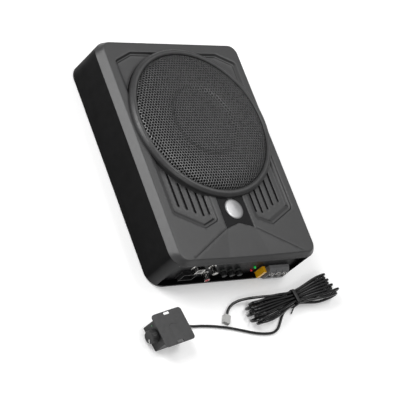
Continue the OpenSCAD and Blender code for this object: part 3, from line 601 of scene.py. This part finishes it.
def facet_drop(x, y):
    """How far the three flat facets at the connector end lie below the face."""
    x = np.abs(x)
    d = GROOVED / np.linalg.norm(GROOVED)
    side = (x - CREASE_START[0]) * d[1] - (y - CREASE_START[1]) * d[0]
    across = (x - CREASE_START[0]) * -PLAIN[1] + (y - CREASE_START[1]) * PLAIN[0]
    middle = np.maximum(0, (CREASE_START[1] - y)) * FACET_SLOPE * MIDDLE_SLOPE / -PLAIN[1]
    return np.where(across < 0, middle, np.maximum(0, side) * FACET_SLOPE)


def crease_distance(points):
    """How far each point is from the two grooved creases."""
    p = np.stack([np.abs(points[:, 0]), points[:, 1]], 1) - CREASE_START
    d = GROOVED / np.linalg.norm(GROOVED)
    return np.where(p @ d > -CREASE_CLEAR, np.abs(p[:, 0] * d[1] - p[:, 1] * d[0]), np.inf)


def on_crease(point):
    """Whether a point lies on one of the four lines where the connector end's facets meet."""
    p = np.array([abs(point[0]), point[1]]) - CREASE_START
    if p[1] > -0.5:
        return False
    return any(abs(p[0] * d[1] - p[1] * d[0]) / np.linalg.norm(d) < 0.03 for d in (GROOVED, PLAIN))


def outline(t, n_arc=14, step=3.0):
    """The enclosure's outline at band row t, always with the same number of points."""
    hx, hy, r = HALF_X - BAND_SIDE * t, HALF_Y - BAND_END * t, CORNER - BAND_SIDE * t
    nx, ny = round(2 * (HALF_X - CORNER) / step), round(2 * (HALF_Y - CORNER) / step)
    signs = [(1, 1), (-1, 1), (-1, -1), (1, -1)]
    pts = []
    for q, n in enumerate((nx, ny, nx, ny)):
        middle, ahead = (np.multiply(sign, (hx - r, hy - r)) for sign in (signs[q], signs[(q + 1) % 4]))
        angles = [math.radians(90 * q + 90 * k / n_arc) for k in range(n_arc + 1)]
        pts += [middle + [r * math.cos(a), r * math.sin(a)] for a in angles]
        pts += [pts[-1] + (ahead - middle) * k / n for k in range(1, n)]
    return np.array(pts)


def inset(poly, distances):
    """A convex polygon, counter-clockwise, with side i moved in by distances[i]."""
    p = np.array(poly, float)
    n, lines = len(p), []
    for i in range(n):
        d = p[(i + 1) % n] - p[i]
        d /= np.linalg.norm(d)
        lines.append((p[i] + np.array([-d[1], d[0]]) * distances[i], d))
    out = []
    for i in range(n):
        (a, da), (b, db) = lines[i - 1], lines[i]
        t = np.linalg.solve(np.array([da, -db]).T, b - a)[0]
        out.append(a + da * t)
    return np.array(out)


def ccw(poly):
    """The polygon, turned round if it runs clockwise."""
    p = np.array(poly, float)
    area = (p[:, 0] * np.roll(p[:, 1], -1) - np.roll(p[:, 0], -1) * p[:, 1]).sum()
    return p if area > 0 else p[::-1]


def dense(poly, step, closed=True):
    """The same line with points at most about step apart."""
    p, out = np.array(poly, float), []
    for i in range(len(p) if closed else len(p) - 1):
        a, b = p[i], p[(i + 1) % len(p)]
        n = max(1, math.ceil(np.linalg.norm(b - a) / step))
        out += [a + (b - a) * k / n for k in range(n)]
    return np.array(out if closed else [*out, p[-1]])


def inside(poly, pts):
    """Which points lie inside a polygon."""
    p, result = np.array(poly), np.zeros(len(pts), bool)
    for i in range(len(p)):
        a, b = p[i], p[(i + 1) % len(p)]
        if abs(a[1] - b[1]) < 1e-12:
            continue
        cross = (a[1] > pts[:, 1]) != (b[1] > pts[:, 1])
        at = a[0] + (pts[:, 1] - a[1]) / (b[1] - a[1]) * (b[0] - a[0])
        result ^= cross & (pts[:, 0] < at)
    return result


def capsule(x, y0, y1, r, steps=8):
    """The outline of a slot with round ends, whose end centres are at y0 and y1."""
    low = [(x + r * math.cos(a), y0 + r * math.sin(a)) for a in np.linspace(math.pi, 2 * math.pi, steps + 1)]
    high = [(x + r * math.cos(a), y1 + r * math.sin(a)) for a in np.linspace(0, math.pi, steps + 1)]
    return np.array(low + high)


def plate_outline(grow):
    """The emblem plate's outline, with its notch towards the connectors."""
    half_far, half_near, near, notch, far = 23.5 + grow, 25 + grow, -128 - grow, -120.5 - grow, -60
    return np.array([[-half_far, far], [-half_near, near], [0, notch], [half_near, near], [half_far, far]])


def pocket_sides(distances, side):
    """The inset of each side of a pocket, in the order of its counter-clockwise outline.

    On the +X side the given outline runs clockwise, so ccw() reverses it and its sides.
    """
    return distances[3::-1] + distances[4:] if side == 1 else distances


def pocket_lines(side):
    """One lower pocket with its slots: its lines, its floor, its rim, and the places cut out of its floor."""
    base = ccw(np.array(POCKET) * [side, 1])
    lines, cuts = [], []
    for distances, depth, radius in POCKET_LEVELS:
        level = dense(fillet(inset(base, pocket_sides(distances, side)), radius, 7), LINE_STEP)
        lines.append((level, depth, True))
    for x, end_y in SLOTS:
        near, far = end_y + SLOT_LEVELS[0][0], SPEAKER[1] - math.sqrt(SLOT_REACH**2 - x * x)
        for half, depth in SLOT_LEVELS:
            level = dense(capsule(side * x, near, far, half), SLOT_STEP)
            lines.append((level, FLOOR_DEPTH + depth, True))
        cuts.append(capsule(side * x, near, far, SLOT_CLEAR))
    rim = dense(fillet(inset(base, [-POCKET_CLEAR] * 5), 8.5, 7), LINE_STEP)
    return lines, lines[len(POCKET_LEVELS) - 1][:2], rim, cuts


def crease_lines(side):
    """The groove and the plain crease between the facets on one side."""
    groove, lines = np.array([CREASE_START, GROOVED_END]), []
    for across, depth in CREASE_ROWS:
        row = dense((groove + across * GROOVE_NORMAL) * [side, 1], LINE_STEP, closed=False)
        lines.append((row, depth, False))
    plain = np.array([CREASE_START, PLAIN_END]) * [side, 1]
    return [*lines, (dense(plain, LINE_STEP, closed=False), 0.0, False)]


def build_face():
    """The lines that shape the face, its sunken floors, their rims, and the places cut out of them.

    A line has points, a depth below the facets, and whether it closes; a floor has an outline and a depth.
    The first line is the edge of the face, and the second is the loudspeaker's hole.
    """
    hole = np.array([
        (HOLE_R * math.cos(a), SPEAKER[1] + HOLE_R * math.sin(a))
        for a in np.linspace(0, 2 * math.pi, 240, endpoint=False)
    ])
    lines, floors = [(outline(BAND_ROWS[-1][0]), 0.0, True), (hole, 0.0, True)], []
    rims, cuts = [], []
    for side in (1, -1):
        pocket, floor, rim, slots = pocket_lines(side)
        lines += pocket + crease_lines(side)
        floors.append(floor)
        rims.append(rim)
        cuts += slots
    base = ccw(CORNER_POCKET)
    for distance, depth, radius in CORNER_LEVELS:
        lines.append((dense(fillet(inset(base, [distance] * 6), radius, 7), LINE_STEP), depth, True))
    floors.append(lines[-1][:2])
    rims.append(dense(fillet(inset(base, [-POCKET_CLEAR] * 6), 7.0, 7), LINE_STEP))
    for grow, depth in PLATE_LEVELS:
        lines.append((dense(plate_outline(grow), LINE_STEP), depth, True))
    cuts.append(plate_outline(PLATE_CLEAR))
    return lines, floors, rims, cuts


def loose_points(edge, floors, rims, cuts):
    """The points of a staggered grid that lie clear of the face's lines, and their depths."""
    xs, ys = np.meshgrid(np.arange(-123, 124, GRID_STEP), np.arange(-171.5, 172, GRID_STEP))
    xs = xs + (np.arange(len(ys)) % 2)[:, None] * GRID_STEP / 2
    grid = np.stack([xs.ravel(), ys.ravel()], 1)
    away = np.hypot(grid[:, 0], grid[:, 1] - SPEAKER[1])
    grid = grid[(away > HOLE_R + POCKET_CLEAR) & inside(edge, grid)]
    blocked = crease_distance(grid) < CREASE_CLEAR
    for poly in rims + cuts:
        blocked |= inside(poly, grid)
    level = facet_drop(*grid.T)
    points, depths = list(grid[~blocked]), list(level[~blocked])
    for poly, depth in floors:
        centre = poly.mean(0)
        kept = inside(centre + (poly - centre) * FLOOR_SHRINK, grid)
        for cut in cuts:
            kept &= ~inside(cut, grid)
        points += list(grid[kept])
        depths += list(level[kept] + depth)
    return points, depths


def face_mesh():
    """The shaped face inside the band: points with their heights, and the triangles between them."""
    lines, floors, rims, cuts = build_face()
    edge, hole = lines[0][0], lines[1][0]
    points, depths, edges = [], [], []
    for line, depth, closed in lines:
        start, n = len(points), len(line)
        points += list(line)
        depths += list(facet_drop(*line.T) + depth)
        edges += [(start + i, start + (i + 1) % n) for i in range(n if closed else n - 1)]
    loose, loose_depths = loose_points(edge, floors, rims, cuts)
    points += loose
    depths += loose_depths
    result = delaunay_2d_cdt([Vector(p) for p in points], edges, [], 0, 1e-5)
    new = np.array([v[:] for v in result[0]])
    drop = np.full(len(new), np.nan)
    for k, olds in enumerate(result[3]):
        if olds:
            drop[k] = max(depths[o] for o in olds)
    # A point that two lines make where they cross takes the depth of its nearest neighbour
    for k in np.nonzero(np.isnan(drop))[0]:
        drop[k] = depths[np.argmin(((np.array(points) - new[k]) ** 2).sum(1))]
    faces = np.array([f for f in result[2] if len(f) == 3])
    middle = new[faces].mean(1)
    good = inside(edge, middle) & ~inside(hole, middle)
    return np.column_stack([new, FACE_Z - drop]), faces[good]


def band_mesh():
    """The sloped band, from the walls to the edge of the face."""
    rise = FACE_Z - facet_drop(*outline(BAND_ROWS[-1][0]).T) - BAND_Z
    return swept([np.column_stack([outline(t), BAND_Z + up * rise]) for t, up in BAND_ROWS], cap=False)


def lower_walls():
    """The CAD shell without its band and face."""
    bm = bmesh.new()
    bm.from_mesh(NODES["top_shell"].data)
    bmesh.ops.remove_doubles(bm, verts=bm.verts, dist=WELD)
    doomed = []
    for face in bm.faces:
        lowest = min(v.co.z / MM for v in face.verts)
        c = face.calc_center_median() / MM
        outside_hole = math.hypot(c.x, c.y - SPEAKER[1]) > HOLE_R - 0.2
        looks_up = face.normal.z > 0.02
        if lowest > BAND_Z - 0.02 and outside_hole and (looks_up or lowest > CAD_POCKET_Z):
            doomed.append(face)
    bmesh.ops.delete(bm, geom=doomed, context="FACES")
    shade(bm, 30)
    walls = bpy.data.meshes.new("shell_lower")
    bm.to_mesh(walls)
    bm.free()
    return walls


def face_and_band():
    """The finer face and band, welded along their common edge."""
    cap = mesh_data("shell_cap", *joined(face_mesh(), band_mesh()))
    bm = bmesh.new()
    bm.from_mesh(cap)
    bmesh.ops.remove_doubles(bm, verts=bm.verts, dist=FACE_WELD)
    bmesh.ops.dissolve_degenerate(bm, dist=WELD, edges=bm.edges)
    for face in bm.faces:
        if face.normal.z < 0:
            face.normal_flip()
        face.smooth = True
    for edge in bm.edges:
        edge.smooth = not all(on_crease(v.co / MM) for v in edge.verts)
    bm.to_mesh(cap)
    bm.free()
    return cap


def shell_look(centre, normal):
    """The index in SHELL_LOOKS of a face of the shell; the centre is in millimetres.

    The walls and the slots are painted dark as painted shade, the pockets' sides a little paler, also painted
    shade, and the rest keeps the shell's own colour.
    """
    high = centre.z > BAND_Z
    in_face = high and abs(centre.x) < POCKETS_X and abs(centre.y) < POCKETS_Y
    # Slot floors and walls take the darkest copy, painted shade; the pockets' sloped sides take the groove
    # copy, painted shade too
    if in_face and centre.z < FACE_Z - FLOOR_DEPTH - 0.12:
        return 1
    if in_face and 0.1 < normal.z < 0.87 and math.hypot(centre.x, centre.y - SPEAKER[1]) > RING_R:
        return 2
    return 0 if high and normal.z > 0.42 else 1


def make_shell():
    """The enclosure: its CAD walls below, a finer band and face above, and a collar round the grille."""
    collar_profile = [
        (HOLE_R, COLLAR_Z), (RING_R - 0.1, COLLAR_Z), (RING_R - 0.1, FACE_Z + 0.1), (HOLE_R, FACE_Z + 0.1),
    ]
    walls, cap = lower_walls(), face_and_band()
    collar = lathe("collar", collar_profile, seg=240)
    join = bmesh.new()
    for data in (walls, cap, collar.data):
        join.from_mesh(data)
    data = bpy.data.meshes.new("shell_skin")
    join.to_mesh(data)
    join.free()
    bpy.data.objects.remove(collar)
    for slot in SHELL_LOOKS:
        data.materials.append(LOOKS[slot].material)
    for poly in data.polygons:
        poly.material_index = shell_look(poly.center / MM, poly.normal)
    return link("shell_skin", data)


shell = make_shell()
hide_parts("top_shell")
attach(shell, "root")


# ---------------------------------------------------------------- trim ring and perforated dome

RING = [
    (109.2, 69.3), (117.4, 69.3), (117.4, 73.05), (121, 73.05), (121, 77.0), (117.4, 81), (113.6, 81),
    (111.5, 79.4), (111.5, 75.2), (109.2, 75.2),
]
RING_ROUNDING = [0, 0, 0, 0, 3.0, 3.4, 1.6, 1.2, 0, 0]
ring = wear_look(lathe("trim_ring", fillet(RING, RING_ROUNDING, 7), seg=288), "ring_plastic")
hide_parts("grille_ring")
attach(ring, "root")

# The dome's profile, as radii and heights
DOME = [
    (0, 82.2), (20, 82.2), (40, 82.2), (50.5, 82.2), (52.3, 82.4), (54, 83.2), (55.5, 84.1), (57.2, 84.5),
    (62, 84.5), (74, 84.5), (86, 84.15), (96, 83.4), (102, 82.45), (106, 81.3), (109, 79.7), (110.6, 78.0),
    (111.6, 76.6), (113.2, 75.8), (116, 75.4),
]
DOME_END = 112.2
HOLE_PITCH, HOLE_HALF, SHEET_T = 4.7, 1.7, 0.45


def make_dome():
    """Punched sheet: a staggered pattern of holes, laid out flat and pressed into the dome's shape.

    The sheet is made of hexagonal cells, and each has a round hole of twelve sides in its middle.
    """
    radii, heights = np.array(DOME, float).T
    along = np.concatenate([[0], np.cumsum(np.hypot(np.diff(radii), np.diff(heights)))])
    last = float(np.interp(DOME_END, radii, along))
    n = int(last / HOLE_PITCH) + 10
    j, i = np.mgrid[-n : n + 1, -n : n + 1]
    cells = np.stack([(i + (j % 2) / 2) * HOLE_PITCH, j * HOLE_PITCH * math.sqrt(3) / 2], -1).reshape(-1, 2)
    cells = cells[np.hypot(*cells.T) < last]

    def around(radius, count):
        a = np.radians(30 + 360 / count * np.arange(count))
        return (cells[:, None] + radius * np.stack([np.cos(a), np.sin(a)], -1)).reshape(-1, 2)

    corners, index = np.unique(np.round(around(HOLE_PITCH / math.sqrt(3), 6), 3), axis=0, return_inverse=True)
    index = index.reshape(-1, 6)
    flat = np.vstack([corners, around(HOLE_HALF, 12)])
    rho = np.hypot(*flat.T)
    scale = np.where(rho > 1e-9, np.interp(rho, along, radii) / np.maximum(rho, 1e-9), 1)
    verts = np.column_stack([flat * scale[:, None] + SPEAKER, np.interp(rho, along, heights)])
    faces = []
    for c in range(len(cells)):
        h = len(corners) + 12 * c
        for k in range(6):
            faces.append((index[c, k], index[c, (k + 1) % 6], h + (2 * k + 2) % 12, h + 2 * k + 1, h + 2 * k))
    data = mesh_data("mesh_dome", verts, faces)
    for poly in data.polygons:
        poly.use_smooth = True
    made = link("mesh_dome", data)
    thick = made.modifiers.new("sheet", "SOLIDIFY")
    thick.thickness = SHEET_T * MM
    thick.offset = -1
    return made


dome = wear_look(make_dome(), "mesh_steel")
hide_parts("grille_mesh")
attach(dome, "root")


# ---------------------------------------------------------------- soft rings of the loudspeaker


def bending_ring(name, profile, node, slot):
    """A turned soft ring that takes the place of a CAD node."""
    made = wear_look(lathe(name, profile, seg=144, sharp_deg=60), slot)
    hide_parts(node)
    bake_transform(made)
    count = len(made.data.vertices)
    co = np.zeros(count * 3)
    made.data.vertices.foreach_get("co", co)
    return made


def surround_profile():
    """A half roll between two flanges, as radii and heights."""
    top = [(92 + 9 * math.cos(a), 68 + 8.1 * math.sin(a)) for a in np.radians(np.arange(12, 169, 12))]
    under = [(92 + 8.1 * math.cos(a), 67 + 7.3 * math.sin(a)) for a in np.radians(np.arange(168, 11, -12))]
    rim, lip = [(106, 67.05), (106, 68), (102.4, 68.1)], [(82, 68), (75, 67.2), (75, 66.5), (83.2, 67)]
    return [*rim, *top, *lip, *under, (100.6, 67.05)]


def spider_profile():
    """A corrugated disc between two flanges, as radii and heights."""
    radii = np.arange(22, 50.1, 1.0)
    top = [(r, 44.1 + 1.0 * math.sin((r - 23) * 1.31)) for r in radii]
    under = [(r, 43.5 + 1.0 * math.sin((r - 23) * 1.31)) for r in radii[::-1]]
    return [(20.2, 43.1), (20.2, 43.8), *top, (53.5, 43.8), (53.5, 43.05), (51, 43.05), *under]


bending_ring("rubber_surround", surround_profile(), "surround", "foot_rubber")
bending_ring("woven_spider", spider_profile(), "spider", "spider_cloth")


# ---------------------------------------------------------------- remote knob with its grip ribs

REMOTE = (-139.0, -246.0, 10.0)
KNOB_AXIS_Z = 13
# The knob's side and its dished end, as places along its axis and radii
KNOB_SIDE = [
    (-25.9, 9.1), (-26.3, 9.5), (-28.2, 9.5), (-28.5, 9.25), (-29.0, 9.15), (-34.4, 8.7), (-35.1, 8.4),
    (-35.45, 7.7),
]
KNOB_END = [(-35.5, 6.9), (-35.2, 6.6), (-35.05, 4.0), (-35.0, 1.2)]
RIBS, RIB_HEIGHT = 24, 0.26


def make_remote_knob():
    """The remote's knob about its axis along X, with its grip ribs between the collar and the rim."""
    count, rings = 144, []
    for u, r in KNOB_SIDE + KNOB_END:
        height = RIB_HEIGHT if r > 8 and -35.2 < u < -28.3 else 0.0
        ring = []
        for k in range(count):
            a = 2 * math.pi * k / count
            reach = r + height * max(0.0, math.cos(RIBS * a)) ** 0.6
            ring.append((u, reach * math.cos(a), KNOB_AXIS_Z + reach * math.sin(a)))
        rings.append(ring)
    return place_at(mesh_piece("ribbed_knob", *swept(rings)), *REMOTE)


def bar(name, points, half, depth):
    """A slim rounded bar through the points, lying on the remote knob's end."""
    rings = []
    line = catmull(points, 0.4)
    for i, c in enumerate(line):
        d = line[min(i + 1, len(line) - 1)] - line[max(i - 1, 0)]
        d /= np.linalg.norm(d)
        side = np.cross(d, [1, 0, 0])
        side /= np.linalg.norm(side)
        end = 0.55 if i in (0, len(line) - 1) else 1.0
        section = fillet(oblong(half, depth), half * 0.5, 2)
        rings.append([c + side * s[0] * end + np.array([1.0, 0, 0]) * s[1] for s in section])
    return mesh_piece(name, *swept(rings), 50)


knob = wear_look(make_remote_knob(), "remote_plastic")
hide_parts("remote_knob")
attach(knob, "remote_knob")
pointer = bar("knob_pointer", [[-35.3, -2.2, 11.4], [-35.3, -4.6, 9.7], [-35.3, -6.6, 8.3]], 0.55, 0.25)
wear_look(place_at(pointer, *REMOTE), "slider_white")
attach(pointer, "remote_knob")


def make_plate_arc():
    """The shallow curved line pressed into the bracket, drawn as a thin strip darker than the bracket:
    painted shade of the pressed line.
    """
    rings, low, high = [], 26.8, 27.14
    for k in range(25):
        a = math.radians(52 + 76 * k / 24)
        c = np.array([17 * math.cos(a) * 0.72, -9.5 + 14.5 * math.sin(a)])
        half = 0.55 * (0.25 + 0.75 * math.sin(math.pi * k / 24)) * np.array([math.cos(a), math.sin(a)])
        rings.append([(*(c - half), low), (*(c + half), low), (*(c + half), high), (*(c - half), high)])
    return place_at(mesh_piece("plate_arc", *swept(rings)), *REMOTE)


pressed_line_shade = wear_look(make_plate_arc(), "black_plastic")
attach(pressed_line_shade, "root")


# ---------------------------------------------------------------- small pieces of the connector panel

# Where the remote port is on the panel, as X and Z, and the X of the power terminals
PORT, TERMINALS, TERMINAL_Z = (-73.5, 42.0), (78.1, 90.5, 102.9), 18.5


def panel_detail(slot, name, *mesh):
    """A small fixed piece; mesh is what mesh_piece takes."""
    made = wear_look(mesh_piece(name, *mesh), slot)
    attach(made, "root")


def ring_y(name, x, z, y0, y1, r_out, r_in, slot, seg=40):
    """A turned collar about an axis along Y."""
    prof = fillet([(r_in, y0), (r_out, y0), (r_out, y1), (r_in, y1)], min(0.3, (r_out - r_in) / 3), 2)
    turns = np.linspace(0, 2 * math.pi, seg, endpoint=False)
    verts = [(x + r * math.cos(a), y, z + r * math.sin(a)) for a in turns for r, y in prof]
    panel_detail(slot, name, verts, wrapped(seg, len(prof)), 50)


def box_ring(x, z, half_x, half_z, y, r):
    """A ring of points round an oblong with rounded corners, in the X-Z plane at y."""
    return [(u, y, v) for u, v in fillet(oblong(half_x, half_z, x, z), r, 3)]


def make_port_liner():
    """The pale insulator that lines the remote port, with its four pins."""
    x, z = PORT
    outer = [box_ring(x, z, 5.35, 4.85, y, 0.4) for y in (-176.7, -166.3)]
    inner = [box_ring(x, z, 4.7, 4.2, y, 0.3) for y in (-168.0, -176.7)]
    panel_detail("connector_white", "port_liner", *swept(inner + outer))
    pins = []
    for k in range(4):
        at = x - 3.0 + 2.0 * k
        shaft = [box_ring(at, z, 0.32, 0.32, y, 0.1) for y in (-168.1, -174.0)]
        pins.append(swept([*shaft, box_ring(at, z, 0.18, 0.18, -174.6, 0.05)]))
    panel_detail("nickel", "port_pins", *joined(*pins))


make_port_liner()
for number, x in enumerate(TERMINALS, 1):
    ring_y(f"terminal_rim_{number}", x, TERMINAL_Z, -180.0, -179.1, 3.95, 3.3, "nickel")


def colour_insulators():
    """The lower phono jack's insulator is red and the upper one's is white; their block is black."""
    made = look("rca_insulators", (0.010, 0.010, 0.0105), 0.38, drift=0.1, grain_mm=0.5)
    front = made.span(made.axis("Y"), -0.1669, -0.1665, 1.0, 0.0)
    upper = made.span(made.axis("Z"), 0.0295, 0.0305, 0.0, 1.0)
    ends = made.blend(upper, (0.62, 0.03, 0.05), (0.82, 0.81, 0.79))
    made.recolour(made.blend(front, made.colour, ends))


colour_insulators()


# ---------------------------------------------------------------- finishes of the CAD nodes that stay

# Widths of the small bevels, in millimetres
SOFT_EDGES = {
    "bottom_plate": 0.3, "control_panel": 0.25, "emblem_plate": 0.12, "emblem_badge": 0.15,
    "terminal_block": 0.45, "remote_housing": 0.9, "remote_base": 0.4, "remote_bracket": 0.35,
    "fuse_holder": 0.25, "blade_fuse": 0.5, "high_input_socket": 0.35, "remote_port": 0.25,
    "phase_switch": 0.2, "phase_slider": 0.2, "lead_connector": 0.5, "rca_jacks": 0.12, "level_knob": 0.25,
    "low_pass_knob": 0.25, "bass_knob": 0.25, "rubber_feet": 0.3, "panel_screws": 0.15, "screw_ground": 0.2,
    "screw_remote": 0.2, "screw_power": 0.2,
}


def finish_nodes():
    """Put the looks and the small bevels on the CAD pieces."""
    special = {"rca_block": "rca_insulators"}
    for name, node in NODES.items():
        slots = [m.name.split(".")[0] if m else "black_plastic" for m in node.data.materials]
        for k, slot in enumerate(slots):
            node.data.materials[k] = LOOKS[special.get(name, slot)].material
        if name in SOFT_EDGES and not node.hide_render:
            weld = node.modifiers.new("weld", "WELD")
            weld.merge_threshold = 1e-6
            bevel = node.modifiers.new("edges", "BEVEL")
            bevel.width = SOFT_EDGES[name] * MM
            bevel.segments = 3
            bevel.limit_method = "ANGLE"
            bevel.angle_limit = math.radians(35)
            even = node.modifiers.new("normals", "WEIGHTED_NORMAL")
            even.weight = 60
            even.keep_sharp = False


finish_nodes()


# ---------------------------------------------------------------- floor, light


def make_floor():
    """A plain pale floor, 12 m square, that glows a little so that it renders nearly white."""
    data, s = bpy.data.meshes.new("floor"), 6.0
    data.from_pydata([(-s, -s, 0), (s, -s, 0), (s, s, 0), (-s, s, 0)], [], [(0, 1, 2, 3)])
    floor = link("floor", data)
    pale = Look("floor_look", (0.86, 0.86, 0.86), 0.4, drift=0.01, drift_mm=300, grain=0.0, rough_drift=0.02,
                specular=0.3)
    pale.glow((1, 1, 1), 0.22)
    data.materials.append(pale.material)


def area_light(name, towards, distance, size, power, target=(0.0, -0.03, 0.05)):
    """A soft round lamp that shines on the target from the direction towards, in metres and watts."""
    data = bpy.data.lights.new(name, "AREA")
    data.shape = "DISK"
    data.size = size
    data.energy = power
    lamp = link(name, data)
    d = Vector(towards).normalized()
    lamp.location = Vector(target) + d * distance
    lamp.rotation_mode = "QUATERNION"
    lamp.rotation_quaternion = (-d).to_track_quat("-Z", "Y")


def make_world():
    """Soft studio surroundings: dim near the horizon, brighter overhead."""
    world = bpy.data.worlds.new("studio")
    world.use_nodes = True
    tree = world.node_tree
    back = tree.nodes["Background"]
    place = tree.nodes.new("ShaderNodeTexCoord")
    split = tree.nodes.new("ShaderNodeSeparateXYZ")
    ramp = tree.nodes.new("ShaderNodeValToRGB")
    for end, (at, grey) in zip(ramp.color_ramp.elements, [(0.05, 0.10), (0.9, 0.55)]):
        end.position, end.color = at, (grey, grey, grey, 1)
    tree.links.new(place.outputs["Generated"], split.inputs["Vector"])
    tree.links.new(split.outputs["Z"], ramp.inputs["Fac"])
    tree.links.new(ramp.outputs["Color"], back.inputs["Color"])
    bpy.context.scene.world = world


make_floor()
make_world()
area_light("band_light", (-0.68, 0.36, 0.64), 1.35, 0.8, 13.5)
area_light("face_light", (0.50, 0.31, 0.81), 2.0, 0.7, 4.0)
area_light("overhead", (0.30, 0.08, 0.95), 2.0, 0.6, 9)
area_light("camera_side", (-0.32, -0.63, 0.70), 2.4, 0.5, 7)
bpy.context.scene.view_settings.view_transform = "Standard"
